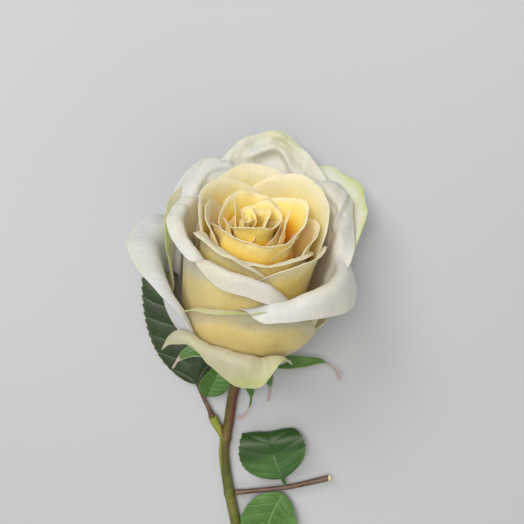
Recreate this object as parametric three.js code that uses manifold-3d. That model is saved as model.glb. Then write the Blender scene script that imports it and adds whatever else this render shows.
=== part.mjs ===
// A single cut rose, lying on its side with its open bloom raised towards the viewer.
// Every petal, sepal, leaflet and stalk is a closed solid of its own, in millimetres, +Z up.

import * as THREE from 'three';
import { mergeVertices } from 'three/addons/utils/BufferGeometryUtils.js';
import Module from 'manifold-3d';

const wasm = await Module();
wasm.setup();

// Driving dimensions: the bloom

const BLOOM_TILT = 28;                  // degrees the bloom's axis is raised above the surface
const BLOOM_TURN = -8;                  // degrees the bloom is turned about the vertical
const BLOOM_BASE = new THREE.Vector3(0, 30, 14.55);   // foot of the petals, on the bloom's axis
const PETAL_THICKNESS = 0.7;
const HEART_THICKNESS = 0.65;
const LAYERS = 34;                      // petals counted from the outside to the centre
const CUP_RADIUS = { inner: 1.5, outer: 8 };      // where the petals leave the receptacle
const CUP_HEIGHT = { inner: 6, outer: 0 };
const CONE_SLOPE = (CUP_HEIGHT.inner - CUP_HEIGHT.outer) / (CUP_RADIUS.outer - CUP_RADIUS.inner);
const BELLY_HEIGHT = { inner: 24, outer: 34 };    // where a petal stands upright
const BELLY_STEPS = [[0, 1.6], [0.35, 15.5], [0.6, 24], [1, 36.5]];   // layer share and radius
const BELLY_ROUNDNESS = 1.45;
const CLAW = 0.13;                      // a petal's foot, as a share of its width

// Driving dimensions: the stalk and the leaves

const STEM_RADIUS = 2.35;
const LEAF_THICKNESS = 0.7;
const SEPAL_THICKNESS = 0.8;
const FLOOR = 0;                        // the surface that the rose lies on
const CENTRE = [-3.7, 0.7, 0];          // brings the middle of the whole rose over the origin

// Petals from the outside in. az: middle of the petal in degrees round the axis, 0 to the right,
// 90 to the back. w and len: width and length. lean: outward slope of the rim. roll: how far the
// rim curls over at the left side, the middle and the right side, over the last fold mm. shoulder
// and round: how much shorter a petal is at its sides, and how square its corners are. skew makes
// one side longer than the other. wave: depth of the frill, with so many beats from side to side.

const BROAD = { round: 3.2, shoulder: 0.28 };     // a petal with a broad, flat top

const PETALS = [
  { az: -98, w: 51, len: 65, lean: 22, roll: [105, 150, 80], fold: 21, curl: 13, tip: 5, wave: 0.6 },
  { az: 75, w: 60, len: 74, lean: 48, roll: [20, 20, 20], fold: 8, wave: 1, phase: 2 },
  { az: 192, w: 70, len: 76, lean: 32, roll: [30, 60, 75], fold: 16, curl: 12, tip: 6, wave: 1, phase: 0.5 },
  { az: 40, w: 68, len: 85, lean: 46, roll: [20, 10, 20], fold: 9, tip: 3, wave: 0.9, phase: 2.2 },
  { az: -76, w: 76, len: 68, lean: 18, roll: [60, 75, 55], fold: 6, curl: 5, wave: 1.1, phase: 0.3 },
  { az: 150, w: 52, len: 78, lean: 31, roll: [20, 20, 20], fold: 8, tip: 2, wave: 0.8 },
  { az: 84, w: 70, len: 94, lean: 29, roll: [15, 10, 15], fold: 10, tip: 3, wave: 1, beats: 4, phase: 0.4 },
  { az: -36, w: 58, len: 84, lean: 22, roll: [140, 130, 130], fold: 17, curl: 12, shoulder: 0.14,
    wave: 0.9, phase: 1.2 },
  { az: 126, w: 54, len: 89, lean: 23, roll: [110, 90, 110], fold: 14, curl: 9, wave: 1, phase: 0.4 },
  { az: 34, w: 66, len: 88, lean: 24, roll: [100, 85, 100], fold: 12, curl: 9, wave: 1.3, beats: 4,
    phase: 1 },
  { az: -108, w: 52, len: 86, lean: 8, roll: [150, 150, 150], fold: 11, curl: 7, shoulder: 0.2,
    skew: -0.07, wave: 0.8, phase: 2 },
  { az: 184, w: 44, len: 84, lean: 8, roll: [120, 110, 120], fold: 8, curl: 6, shoulder: 0.16,
    wave: 0.9, phase: 1 },
  { az: 96, w: 60, len: 80, lean: 27, roll: [20, 20, 20], fold: 6, ...BROAD, wave: 0.6, phase: 1 },
  { az: -44, w: 56, len: 76, lean: 21, roll: [30, 30, 30], fold: 5, wave: 0.5, phase: 2 },
  { az: 48, w: 60, len: 81, lean: 21, roll: [20, 20, 20], fold: 5, ...BROAD, wave: 0.5, phase: 1 },
  { az: -125, w: 56, len: 77, lean: 17, roll: [70, 70, 70], fold: 5, curl: 5, wave: 0.6, phase: 1 },
  { az: 146, w: 54, len: 78, lean: 13, roll: [20, 20, 20], fold: 5, ...BROAD, wave: 0.5, phase: 1 },
  { az: -4, w: 50, len: 78, lean: 17, roll: [30, 30, 30], fold: 5, wave: 0.8, phase: 1 },
  { az: -94, w: 58, len: 74, lean: 17, roll: [60, 60, 60], fold: 5, curl: 4, ...BROAD, wave: 0.6 },
  { az: 182, w: 38, len: 75, lean: 11, roll: [40, 40, 40], fold: 5, wave: 0.5, phase: 1 },
];
const OUTER_COUNT = 12;                 // petals of the white outer whorl, the rest are the cup
const CUP_SET_BACK = 2.1;               // step between the two whorls
const HEART_SET_BACK = 2.6;             // and the step from there to the heart
const HEART_COUNT = 11;
const HEART_STEP = 1.15;                // layers between one petal of the heart and the next
const GOLDEN_ANGLE = 137.5;

const radians = THREE.MathUtils.degToRad;
const lerp = THREE.MathUtils.lerp;
const clamp = THREE.MathUtils.clamp;
const smooth = (t) => THREE.MathUtils.smoothstep(t, 0, 1);
const bump = (t, middle, width) => Math.exp(-(((t - middle) / width) ** 2));
const curveThrough = (path) => new THREE.CatmullRomCurve3(path.map((p) => new THREE.Vector3(...p)));

const bloomPose = new THREE.Matrix4()
  .makeRotationZ(radians(BLOOM_TURN))
  .multiply(new THREE.Matrix4().makeRotationX(radians(BLOOM_TILT - 90)))
  .setPosition(BLOOM_BASE);

// Turn a grid of points into a closed blade with a face on either side of it.

function bladeFromGrid(grid, thickness) {
  const rows = grid.length;
  const columns = grid[0].length;
  const positions = [];
  const at = (i, j) => grid[clamp(i, 0, rows - 1)][clamp(j, 0, columns - 1)];
  const normals = grid.map((row, i) => row.map((point, j) => {
    const along = at(i + 1, j).clone().sub(at(i - 1, j));
    const across = at(i, j + 1).clone().sub(at(i, j - 1));
    return along.cross(across).normalize();
  }));
  for (const side of [1, -1]) {
    grid.forEach((row, i) => row.forEach((point, j) => {
      const p = point.clone().addScaledVector(normals[i][j], side * thickness / 2);
      positions.push(p.x, p.y, p.z);
    }));
  }
  const back = rows * columns;
  const index = [];
  const quad = (a, b, c, d) => index.push(a, b, c, a, c, d);
  for (let i = 0; i < rows - 1; i++) {
    for (let j = 0; j < columns - 1; j++) {
      const a = i * columns + j;
      const b = a + 1;
      const c = b + columns;
      const d = a + columns;
      quad(a, d, c, b);
      index.push(back + a, back + b, back + c, back + a, back + c, back + d);
    }
  }
  const rim = [];
  for (let j = 0; j < columns; j++) rim.push(j);
  for (let i = 1; i < rows; i++) rim.push(i * columns + columns - 1);
  for (let j = columns - 2; j >= 0; j--) rim.push((rows - 1) * columns + j);
  for (let i = rows - 2; i > 0; i--) rim.push(i * columns);
  rim.forEach((a, k) => {
    const b = rim[(k + 1) % rim.length];
    quad(a, b, back + b, back + a);
  });
  const geometry = new THREE.BufferGeometry();
  geometry.setAttribute('position', new THREE.Float32BufferAttribute(positions, 3));
  geometry.setIndex(index);
  return geometry;
}

// Keep a blade on the surface: its lower face is pressed flat there and its upper face lies on it.

function restOnFloor(geometry, thickness) {
  const position = geometry.getAttribute('position');
  const half = position.count / 2;
  for (let i = 0; i < half; i++) {
    const low = position.getZ(i) < position.getZ(i + half) ? i : i + half;
    const high = low === i ? i + half : i;
    position.setZ(low, Math.max(position.getZ(low), FLOOR));
    position.setZ(high, Math.max(position.getZ(high), position.getZ(low) + thickness * 0.7));
  }
  return geometry;
}

// A petal's middle surface, column by column: up along the belly, out at the wall, over at the rim.

function bellyRadius(share) {
  for (let k = 1; k < BELLY_STEPS.length; k++) {
    const [s0, r0] = BELLY_STEPS[k - 1];
    const [s1, r1] = BELLY_STEPS[k];
    if (share <= s1) return lerp(r0, r1, (share - s0) / (s1 - s0));
  }
  return BELLY_STEPS.at(-1)[1];
}

function petalColumn(petal, q, foot) {
  const steps = 72;
  const shoulder = petal.shoulder ?? 0.34;
  const outline = 1 - shoulder * Math.abs(q) ** (petal.round ?? 2.6);
  const length = petal.len * (1 + (petal.skew ?? 0) * q) * outline + (petal.tip ?? 0) * bump(q, 0, 0.16);
  const sideRoll = q < 0 ? petal.roll[0] : petal.roll[2];
  const roll = lerp(petal.roll[1], sideRoll, smooth(Math.abs(q) / 0.55));
  const ds = length / steps;
  const track = [{ s: 0, r: foot.r, z: foot.z, flat: foot.r }];
  let [r, z, flatR, flatZ, wallStart] = [foot.r, foot.z, foot.r, foot.z, petal.len * 0.5];
  for (let i = 0; i < steps; i++) {
    const s = (i + 0.5) * ds;
    const rise = (flatZ - foot.z) / foot.bellyHeight;
    let slope;
    if (rise < 1) {
      const steepness = (foot.belly - foot.r) * BELLY_ROUNDNESS / foot.bellyHeight;
      slope = Math.atan(steepness * (1 - rise) ** (BELLY_ROUNDNESS - 1));
      wallStart = s;
    } else {
      const u = (s - wallStart) / Math.max(petal.len - wallStart, 1);
      const closing = (petal.close ?? 0) * Math.sin(Math.PI * Math.min(u, 1));
      slope = radians(petal.lean * Math.min(u, 1.2) ** 1.6 - closing);
    }
    const curl = radians(roll) * smooth((petal.fold - (length - s)) / (petal.curl ?? 8));
    flatR += ds * Math.sin(slope);
    flatZ += ds * Math.cos(slope);
    r += ds * Math.sin(slope + curl);
    z += ds * Math.cos(slope + curl);
    track.push({ s: s + ds / 2, r, z, flat: flatR });
  }
  return { length, track };
}

function petalGrid(petal, columns, rows) {
  const foot = petal.foot;
  const share = clamp(petal.fold / petal.len * 2.2, 0.25, 0.5);
  const points = [];
  for (let i = 0; i < rows; i++) points.push([]);
  for (let j = 0; j < columns; j++) {
    const q = -1 + 2 * j / (columns - 1);
    const { length, track } = petalColumn(petal, q, foot);
    const foldStart = 1 - petal.fold / length;
    for (let i = 0; i < rows; i++) {
      const v = i / (rows - 1);
      const s = length * (v < 1 - share
        ? v / (1 - share) * foldStart
        : foldStart + (v - 1 + share) / share * (1 - foldStart));
      const place = s / length * (track.length - 1);
      const k = Math.min(Math.floor(place), track.length - 2);
      const mix = (name) => lerp(track[k][name], track[k + 1][name], place - k);
      const spread = Math.sin(Math.PI / 2 * Math.min(1, s / (0.6 * petal.len))) ** 1.5;
      const halfWidth = petal.w / 2 * lerp(CLAW, 1, spread);
      const wrap = Math.min(Math.max(mix('flat'), 1.2), foot.belly * 1.25 + 2);
      const u = s / petal.len;
      const wave = (petal.wave ?? 0) * 2.2 * Math.max(0, u - 0.45) ** 1.5;
      const beat = (petal.beats ?? 2.6) * q * Math.PI / 2;
      const r = mix('r') + wave * Math.sin(beat + (petal.phase ?? 0));
      const z = mix('z') + wave * 0.5 * Math.sin(beat * 1.3 + (petal.phase ?? 0) * 1.7);
      const angle = radians(petal.az) + q * halfWidth / wrap;
      points[i].push(new THREE.Vector3(r * Math.cos(angle), r * Math.sin(angle), z));
    }
  }
  return points;
}

function footOfLayer(layer, setBack = 0) {
  const share = 1 - (layer - 1) / LAYERS;
  return {
    r: lerp(CUP_RADIUS.inner, CUP_RADIUS.outer, share) - setBack,
    z: lerp(CUP_HEIGHT.inner, CUP_HEIGHT.outer, share) + setBack * CONE_SLOPE,
    belly: bellyRadius(share) - setBack,
    bellyHeight: lerp(BELLY_HEIGHT.inner, BELLY_HEIGHT.outer, share),
  };
}

// A solid turned about the bloom's axis, from its radii and heights

function turned(profile, sides) {
  const points = profile.map(([r, z]) => new THREE.Vector2(r, z));
  return new THREE.LatheGeometry(points, sides).rotateX(Math.PI / 2);
}

// Joining closed solids

function toSolid(geometry) {
  const bare = geometry.clone();
  bare.deleteAttribute('normal');
  bare.deleteAttribute('uv');
  const merged = mergeVertices(bare, 1e-4);
  return new wasm.Manifold(new wasm.Mesh({
    numProp: 3,
    vertProperties: merged.getAttribute('position').array,
    triVerts: Uint32Array.from(merged.index.array),
  }));
}

function fuse(geometries) {
  const joined = geometries.map(toSolid).reduce((sum, solid) => sum.add(solid));
  const [body] = joined.decompose().sort((a, b) => b.volume() - a.volume());
  const mesh = body.getMesh();
  const geometry = new THREE.BufferGeometry();
  geometry.setAttribute('position', new THREE.Float32BufferAttribute(mesh.vertProperties, 3));
  geometry.setIndex(new THREE.Uint32BufferAttribute(mesh.triVerts, 1));
  return geometry;
}

const rose = new THREE.Group();

function addPiece(name, geometry, color, roughness = 0.6) {
  geometry.deleteAttribute('normal');
  geometry.translate(...CENTRE);
  geometry.computeVertexNormals();
  const material = new THREE.MeshStandardMaterial({ color, roughness, metalness: 0 });
  const mesh = new THREE.Mesh(geometry, material);
  mesh.name = name;
  rose.add(mesh);
  return mesh;
}

// Petals of one whorl share a thin ring at their feet, where their roots run together

function petalWhorl(first, last, columns, rows, setBack) {
  const outer = footOfLayer(first, setBack);
  const inner = footOfLayer(last, setBack);
  const ring = turned([
    [inner.r - 0.3, inner.z], [outer.r + 0.2, outer.z - 0.2], [outer.r + 0.5, outer.z + 0.6],
    [inner.r - 0.1, inner.z + 1], [inner.r - 0.3, inner.z],
  ], 16);
  const solids = [ring];
  for (let layer = first; layer <= last; layer++) {
    const petal = { ...PETALS[layer - 1], foot: footOfLayer(layer, setBack) };
    solids.push(bladeFromGrid(petalGrid(petal, columns, rows), PETAL_THICKNESS));
  }
  return solids;
}

const outerPetals = petalWhorl(1, OUTER_COUNT, 7, 8, 0).map((solid) => solid.applyMatrix4(bloomPose));
outerPetals.slice(1).forEach((solid) => restOnFloor(solid, PETAL_THICKNESS));
addPiece('outer_petals', fuse(outerPetals), '#ddd9cc', 0.55);
const cupPetals = petalWhorl(OUTER_COUNT + 1, PETALS.length, 6, 7, CUP_SET_BACK);
addPiece('cup_petals', fuse(cupPetals).applyMatrix4(bloomPose), '#e3d29a', 0.55);

// The heart: the innermost petals, rooted in a small core

const heartBlades = [];
for (let i = 0; i < HEART_COUNT; i++) {
  const foot = footOfLayer(PETALS.length + 1.5 + HEART_STEP * i, HEART_SET_BACK);
  const petal = {
    az: -60 + GOLDEN_ANGLE * i, w: 41 - 2.6 * i, len: 73 - 0.4 * i, lean: 9 - i,
    roll: [60, 20, 40], fold: 4, curl: 4, tip: 1.8, wave: 1.1 - 0.07 * i, beats: 3.4, phase: 2.1 * i,
    close: 3, round: 2.4, shoulder: 0.24, foot,
  };
  foot.r = Math.min(foot.r, 2.4);
  foot.z = 7.5;
  heartBlades.push(bladeFromGrid(petalGrid(petal, 5, 6), HEART_THICKNESS));
}
const core = turned([[0, 6.3], [2.2, 7.1], [4, 9.4], [3.6, 14], [0, 20]], 12);
addPiece('heart_petals', fuse([core, ...heartBlades]).applyMatrix4(bloomPose), '#e2b648', 0.55);

// The receptacle: a small urn under the petals, with a low cone on top that carries their feet

const receptacle = turned([
  [0, -13], [2.9, -13], [4.6, -11.4], [6.4, -8], [7.3, -4.6], [8.2, -2], [8.9, -1.2],
  [8.4, -1.1], [1.5, 5.2], [0, 5.4],
], 20);
addPiece('receptacle', receptacle.applyMatrix4(bloomPose), '#5f7a35', 0.6);

// A blade along a midrib: a leaflet with its toothed edge, or a sepal with its drawn-out tail.
// width(t) is its breadth along the midrib, up the direction its face looks in.

function bladeAlong({ path, width, up, rows, columns = 5, teeth = 0, keel = 0, thickness }) {
  const midrib = curveThrough(path);
  const grid = [];
  for (let i = 0; i < rows; i++) {
    const t = i / (rows - 1);
    const centre = midrib.getPointAt(t);
    const along = midrib.getTangentAt(t);
    const face = new THREE.Vector3(...up);
    const across = along.clone().cross(face).normalize();
    face.copy(across).cross(along).normalize();
    const row = [];
    for (let j = 0; j < columns; j++) {
      const q = -1 + 2 * j / (columns - 1);
      const edge = Math.abs(q) === 1 && teeth > 0 && i > 0 && i < rows - 1;
      const tooth = edge && i % 2 === 1 ? teeth : 0;
      const reach = q * (width(t) / 2 + tooth);
      row.push(centre.clone()
        .addScaledVector(across, reach)
        .addScaledVector(along, tooth * 0.8)
        .addScaledVector(face, keel * Math.abs(q) * width(t) / 2));
    }
    grid.push(row);
  }
  return restOnFloor(bladeFromGrid(grid, thickness), thickness);
}

const leafWidth = (breadth) => (t) => Math.max(breadth * Math.sin(Math.PI * t ** 0.8) ** 0.75, 1.1);
const sepalWidth = (breadth) => (t) => Math.max(breadth * (1 - t) ** 1.1 * (0.75 + 1.1 * t), 1);

const SEPALS = [
  { breadth: 9, up: [0.1, 0.6, 0.8],
    path: [[9.4, 28, 13.2], [18, 24.8, 14.2], [28, 24.2, 13], [36, 24, 11.5], [42, 20.5, 10],
      [45, 14.8, 9]] },
  { breadth: 7, up: [0, 0.45, -0.9],
    path: [[0.9, 23.6, 22.1], [2.6, 18.2, 19.2], [4.3, 12.6, 14.8], [4.8, 8, 11.2], [4.2, 2.5, 9],
      [1.5, -3.2, 8], [-2.2, -4.6, 7.6]] },
  { breadth: 8, up: [0, 0.6, 0.8],
    path: [[-9.6, 29, 14], [-15.5, 30.5, 16], [-21.8, 30.1, 16.6], [-27, 26, 15], [-29.8, 21.4, 13]] },
  { breadth: 8, up: [0.2, 0.3, 0.9],
    path: [[7.1, 30, 5.4], [9.5, 24.6, 4.1], [12, 16.5, 3.2], [13.2, 9, 2.4], [13, 2, 1], [12, -3, 0.38]] },
  { breadth: 6, up: [0, 0.3, 0.9],
    path: [[-6, 31, 5.6], [-6.9, 26, 3.6], [-7.4, 20, 2], [-7.4, 13, 0.9], [-7, 8, 0.38]] },
];
SEPALS.forEach(({ breadth, path, up }, k) => {
  const width = sepalWidth(breadth);
  const sepal = { path, up, width, rows: 10, columns: 3, keel: 0.12, thickness: SEPAL_THICKNESS };
  addPiece(`sepal_${k + 1}`, bladeAlong(sepal), '#4f7433');
});

// A round stalk along a curve, closed at both ends, its radius given along the way

function stalk(path, radius, segments, sides) {
  const curve = curveThrough(path);
  const { normals, binormals } = curve.computeFrenetFrames(segments, false);
  const positions = [];
  const index = [];
  for (let i = 0; i <= segments; i++) {
    const centre = curve.getPointAt(i / segments);
    for (let j = 0; j < sides; j++) {
      const angle = 2 * Math.PI * j / sides;
      const p = centre.clone()
        .addScaledVector(normals[i], Math.cos(angle) * radius(i / segments))
        .addScaledVector(binormals[i], Math.sin(angle) * radius(i / segments));
      positions.push(p.x, p.y, Math.max(p.z, FLOOR));
    }
  }
  for (const t of [0, 1]) positions.push(...curve.getPointAt(t).toArray());
  const foot = (segments + 1) * sides;
  for (let j = 0; j < sides; j++) {
    const next = (j + 1) % sides;
    for (let i = 0; i < segments; i++) {
      const a = i * sides;
      const b = a + sides;
      index.push(a + j, a + next, b + next, a + j, b + next, b + j);
    }
    index.push(foot, next, j, foot + 1, segments * sides + j, segments * sides + next);
  }
  const geometry = new THREE.BufferGeometry();
  geometry.setAttribute('position', new THREE.Float32BufferAttribute(positions, 3));
  geometry.setIndex(index);
  return geometry;
}

// The stem, with the side shoot and two small prickles grown out of it

const stemPath = [
  [-0.74, 17.95, 8.1], [-2.2, 11.2, 5.3], [-4, 3.5, 3.7], [-5.5, -7.3, 3], [-8, -22.1, 2.8],
  [-7.2, -33, 2.7], [-5.4, -45, 2.7], [-2.7, -60, 2.6], [0.5, -80, 2.6], [2.4, -103, 2.6],
  [2, -127.5, 2.6],
];
const stemNodes = [0.24, 0.43, 0.72];
const stemRadius = (t) => STEM_RADIUS + 0.25 * t + 0.5 * bump(t, 0, 0.03)
  + stemNodes.reduce((sum, node) => sum + 0.35 * bump(t, node, 0.012), 0);
const shootPath = [[-7, -17, 2.9], [-9.6, -12, 3.6], [-11.8, -8, 4.1], [-13, -5, 4.3]];
const prickle = (x, y, z, turn) => new THREE.ConeGeometry(1.3, 5, 6)
  .scale(1, 1, 0.6)
  .rotateX(Math.PI / 2 + 0.5)
  .translate(0, 0, 3.2)
  .rotateY(turn)
  .translate(x, y, z);
addPiece('stem', fuse([
  stalk(stemPath, stemRadius, 36, 9),
  stalk(shootPath, (t) => lerp(2, 1.9, t) + 0.25 * t ** 6, 6, 8),
  prickle(1, -86, 2.6, 0.9),
  prickle(2.3, -108, 2.6, -0.8),
]), '#6f5a30', 0.6);

// Leaf stalks and their leaflets

const leafStalks = [
  { name: 'leaf_stalk_left', path: [[-13.4, -4.5, 4.3], [-14.8, -1, 4.3], [-17, 3.9, 4], [-19.6, 10.4, 3.9]],
    radius: (t) => 0.95 + 0.7 * (1 - t) ** 10 },
  { name: 'leaf_stalk_right', path: [[-2.6, -43.2, 3.4], [8, -41.5, 4.6], [20.9, -39.7, 5.2],
    [31, -37.2, 5.7], [41.7, -34.2, 6.2]], radius: (t) => 1.05 + 0.45 * t ** 2 + 0.4 * (1 - t) ** 10 },
];
leafStalks.forEach(({ name, path, radius }) => {
  addPiece(name, stalk(path, radius, 12, 6), '#6b4636');
});

const LEAFLETS = [
  { name: 'leaflet_left_large', breadth: 28, teeth: 0.9, rows: 21, keel: -0.06, up: [0, 0, 1],
    path: [[-19.75, 10.85, 3.9], [-24, 26, 3.6], [-29, 42, 3.2], [-35, 57, 2.3], [-41, 71, 0.35]] },
  { name: 'leaflet_left_small', breadth: 13, teeth: 0.7, rows: 13, keel: 0.2, up: [0.2, -0.3, 0.9],
    path: [[-15.4, 5.2, 4.8], [-13.2, 10, 6.2], [-11, 15, 6.6], [-9.6, 20.5, 5.6]] },
  { name: 'leaflet_right_upper', breadth: 30, teeth: 0.9, rows: 19, keel: 0.1, up: [0.2, 0, 1],
    path: [[20.4, -37.6, 5.6], [17.5, -30, 7.4], [14.8, -21.5, 8.8], [13.6, -14.8, 7.8],
      [13.4, -12.9, 4.3], [13.8, -14.9, 0.1]] },
  { name: 'leaflet_right_lower', breadth: 26, teeth: 0.9, rows: 19, keel: 0.1, up: [0, 0, 1],
    path: [[19.2, -42.6, 5.3], [15.1, -50.6, 6.4], [12.2, -60, 5], [11.4, -70, 2.1], [11.6, -76, 0.3]] },
];
LEAFLETS.forEach(({ name, breadth, ...shape }) => {
  const leaflet = { ...shape, width: leafWidth(breadth), thickness: LEAF_THICKNESS };
  addPiece(name, bladeAlong(leaflet), '#4c6c2e', 0.5);
});

export default rose;
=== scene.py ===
# %% [markdown]
# A cut rose, lying on a pale table
#
# The rose has a half-open bloom of white petals with a golden heart, five sepals, a stem with
# prickles and four toothed leaflets. The plain solids are loaded first and give every piece its
# place. Each cell then replaces one of them with a finer piece and gives it a finish.

# %% Load the plain solids
import math

import bpy
import numpy as np
from mathutils import Matrix, Vector, noise


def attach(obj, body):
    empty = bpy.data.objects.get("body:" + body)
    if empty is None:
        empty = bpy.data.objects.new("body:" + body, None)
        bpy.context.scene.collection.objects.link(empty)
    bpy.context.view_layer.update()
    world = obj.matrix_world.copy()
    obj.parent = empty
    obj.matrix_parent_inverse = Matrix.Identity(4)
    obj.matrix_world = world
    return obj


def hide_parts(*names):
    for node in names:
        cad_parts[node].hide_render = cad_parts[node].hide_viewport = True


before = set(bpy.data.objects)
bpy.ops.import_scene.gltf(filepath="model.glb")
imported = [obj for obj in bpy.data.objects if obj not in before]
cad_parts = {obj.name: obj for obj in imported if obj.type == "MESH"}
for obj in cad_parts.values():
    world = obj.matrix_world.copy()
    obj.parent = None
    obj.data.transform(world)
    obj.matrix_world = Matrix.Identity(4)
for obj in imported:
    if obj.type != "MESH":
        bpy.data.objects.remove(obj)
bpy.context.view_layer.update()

MM = 0.001
CENTRE = Vector((-3.7, 0.7, 0))     # mm, brings the middle of the whole rose over the origin
print("solids:", len(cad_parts))

# %% [markdown]
# Three small helpers serve all the cells below. Colours are picked as sRGB hex values, but
# shaders work with linear light, so one function turns them. One function adds a node to a
# material with its settings and links. Every new piece is finished in the same way: its object
# goes to the origin, it rides on the rose's one body, and it says which plain solid it replaces.

# %% Helpers
def linear(hex_colour, alpha=1.0):
    """An sRGB hex colour as linear light"""
    parts = [int(hex_colour[k:k + 2], 16) / 255 for k in (1, 3, 5)]
    return (*[p / 12.92 if p <= 0.04045 else ((p + 0.055) / 1.055) ** 2.4 for p in parts], alpha)


def add_node(tree, kind, settings=None, values=None, links=None):
    """One node: its own settings, fixed values for its inputs, and the outputs that feed it"""
    node = tree.nodes.new("ShaderNode" + kind)
    for name, value in (settings or {}).items():
        setattr(node, name, value)
    for name, value in (values or {}).items():
        node.inputs[name].default_value = value
    for name, output in (links or {}).items():
        tree.links.new(output, node.inputs[name])
    return node


def new_material(name, values):
    """A material with one Principled shader, whose fixed values are set on its own sockets"""
    material = bpy.data.materials.new(name)
    material.use_nodes = True
    shader = material.node_tree.nodes["Principled BSDF"]
    for socket, value in values.items():
        shader.inputs[socket].default_value = value
    return material, material.node_tree, shader


def set_ramp(ramp, stops):
    """Colour stops as pairs of place and hex colour"""
    elements = ramp.color_ramp.elements
    while len(elements) < len(stops):
        elements.new(0.5)
    for element, (place, colour) in zip(elements, stops):
        element.position = place
        element.color = linear(colour)


def deselect():
    if bpy.context.object and bpy.context.object.mode != "OBJECT":
        bpy.ops.object.mode_set(mode="OBJECT")
    bpy.ops.object.select_all(action="DESELECT")


def select_only(piece):
    deselect()
    piece.select_set(True)
    bpy.context.view_layer.objects.active = piece


def finish_piece(piece, name, node, materials, angle=60):
    """Name, place, smooth and paint a piece, and let it stand for its plain solid"""
    select_only(piece)
    piece.name = name
    piece.data.name = name
    bpy.ops.object.transform_apply(location=True, rotation=True, scale=True)
    bpy.ops.object.shade_smooth_by_angle(angle=math.radians(angle))
    piece.data.materials.clear()
    for material in materials:
        piece.data.materials.append(material)
    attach(piece, "root")
    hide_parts(node)
    piece.select_set(False)
    return piece


print("half grey, #808080, is", round(linear("#808080")[0], 3), "in linear light")

# %% [markdown]
# The camera looks down on the lying rose, 78 degrees above the table, with a lens of about
# 59 mm on a full frame. From there the bloom, which is raised 28 degrees, is seen half from the
# front, as it is when somebody holds the rose up and looks into it. Blender's default view
# transform greys strong colours, as film does. The heart's clear yellow needs the Standard one,
# which shows a colour as it was picked.

# %% Camera
CAMERA_ELEVATION = 78                 # degrees
CAMERA_PLACE = (9.657, 146.245, 374.503)      # mm, from the rose's own origin
SENSOR_WIDTH = 36                     # mm
LENS = 58.88                          # mm
camera_place = (Vector(CAMERA_PLACE) + CENTRE) * MM
bpy.ops.object.camera_add(location=camera_place)
camera = bpy.context.object
camera.name = "camera"
elevation = math.radians(CAMERA_ELEVATION)
towards = Vector((0, math.cos(elevation), math.sin(elevation)))     # from the rose to the camera
upwards = Vector((0, math.sin(elevation), -math.cos(elevation)))    # the picture's upper edge
turn = Matrix((Vector((1, 0, 0)), upwards, towards)).transposed()
camera.rotation_euler = turn.to_euler()
camera.data.sensor_width = SENSOR_WIDTH
camera.data.lens = LENS
camera.data.clip_start = 0.01
bpy.context.scene.camera = camera
bpy.context.scene.view_settings.view_transform = "Standard"
print("camera at", [round(c, 3) for c in camera_place], "m")

# %% [markdown]
# The table is one large pale plane. A photographer's soft light is a big bright surface, so each
# lamp is an area light. The strongest hangs beside the camera, because only light from there
# reaches down between the petals. A cool one on the left, beyond the bloom, gives the left petals
# their clear white. A weak one in front opens the shadows, and a pale world stands for the walls.

# %% Table and lights
bpy.ops.mesh.primitive_plane_add(size=4)
table = bpy.context.object
table.name = "table"
paper, tree, shader = new_material("pale_paper_sheet", {"Roughness": 0.9, "Specular IOR Level": 0.2})
place = add_node(tree, "TexCoord")
mottle = add_node(tree, "TexNoise", values={"Scale": 3.0, "Detail": 2.0}, links={
    "Vector": place.outputs["Object"]})
tone = add_node(tree, "ValToRGB", links={"Fac": mottle.outputs["Fac"]})
set_ramp(tone, [(0.35, "#b7b9bc"), (0.65, "#bcbec1")])
tree.links.new(tone.outputs["Color"], shader.inputs["Base Color"])
table.data.materials.append(paper)

LIGHTS = [                    # name, place in m, size in m, watts, colour
    ("window_light", (-0.5, 0.8, 0.9), 0.5, 6.6, "#fafbff"),
    ("top_light", (-0.12, 0.42, 1.2), 0.5, 10.4, "#fffaf0"),
    ("front_light", (0.1, -0.6, 0.9), 0.9, 1.5, "#fff8ec"),
]
ROOM_BRIGHTNESS = 0.36
aim = Vector((0, 0.06, 0.03))         # m, the middle of the bloom
for name, spot, size, watts, colour in LIGHTS:
    bpy.ops.object.light_add(type="AREA", location=spot)
    lamp = bpy.context.object
    lamp.name = name
    lamp.data.size = size
    lamp.data.energy = watts
    lamp.data.color = linear(colour)[:3]
    lamp.rotation_euler = (aim - Vector(spot)).to_track_quat("-Z", "Y").to_euler()
world = bpy.data.worlds.new("room")
world.use_nodes = True
world.node_tree.nodes["Background"].inputs["Color"].default_value = linear("#e8ecf2")
world.node_tree.nodes["Background"].inputs["Strength"].default_value = ROOM_BRIGHTNESS
bpy.context.scene.world = world
print("lights:", len(LIGHTS))

# %% [markdown]
# A rose petal is a thin blade. It rises steeply from a narrow claw, follows the round belly of
# the bloom, stands up as a wall, and then its rim rolls over outwards. It could be sculpted by
# hand, but thirty petals that nest without cutting one another need exact spacing. So each one
# is a curve marched upwards, column by column, and swept round the bloom's axis. The measures
# here are those of the plain solids, so that the finer petals keep their place and form.

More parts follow.
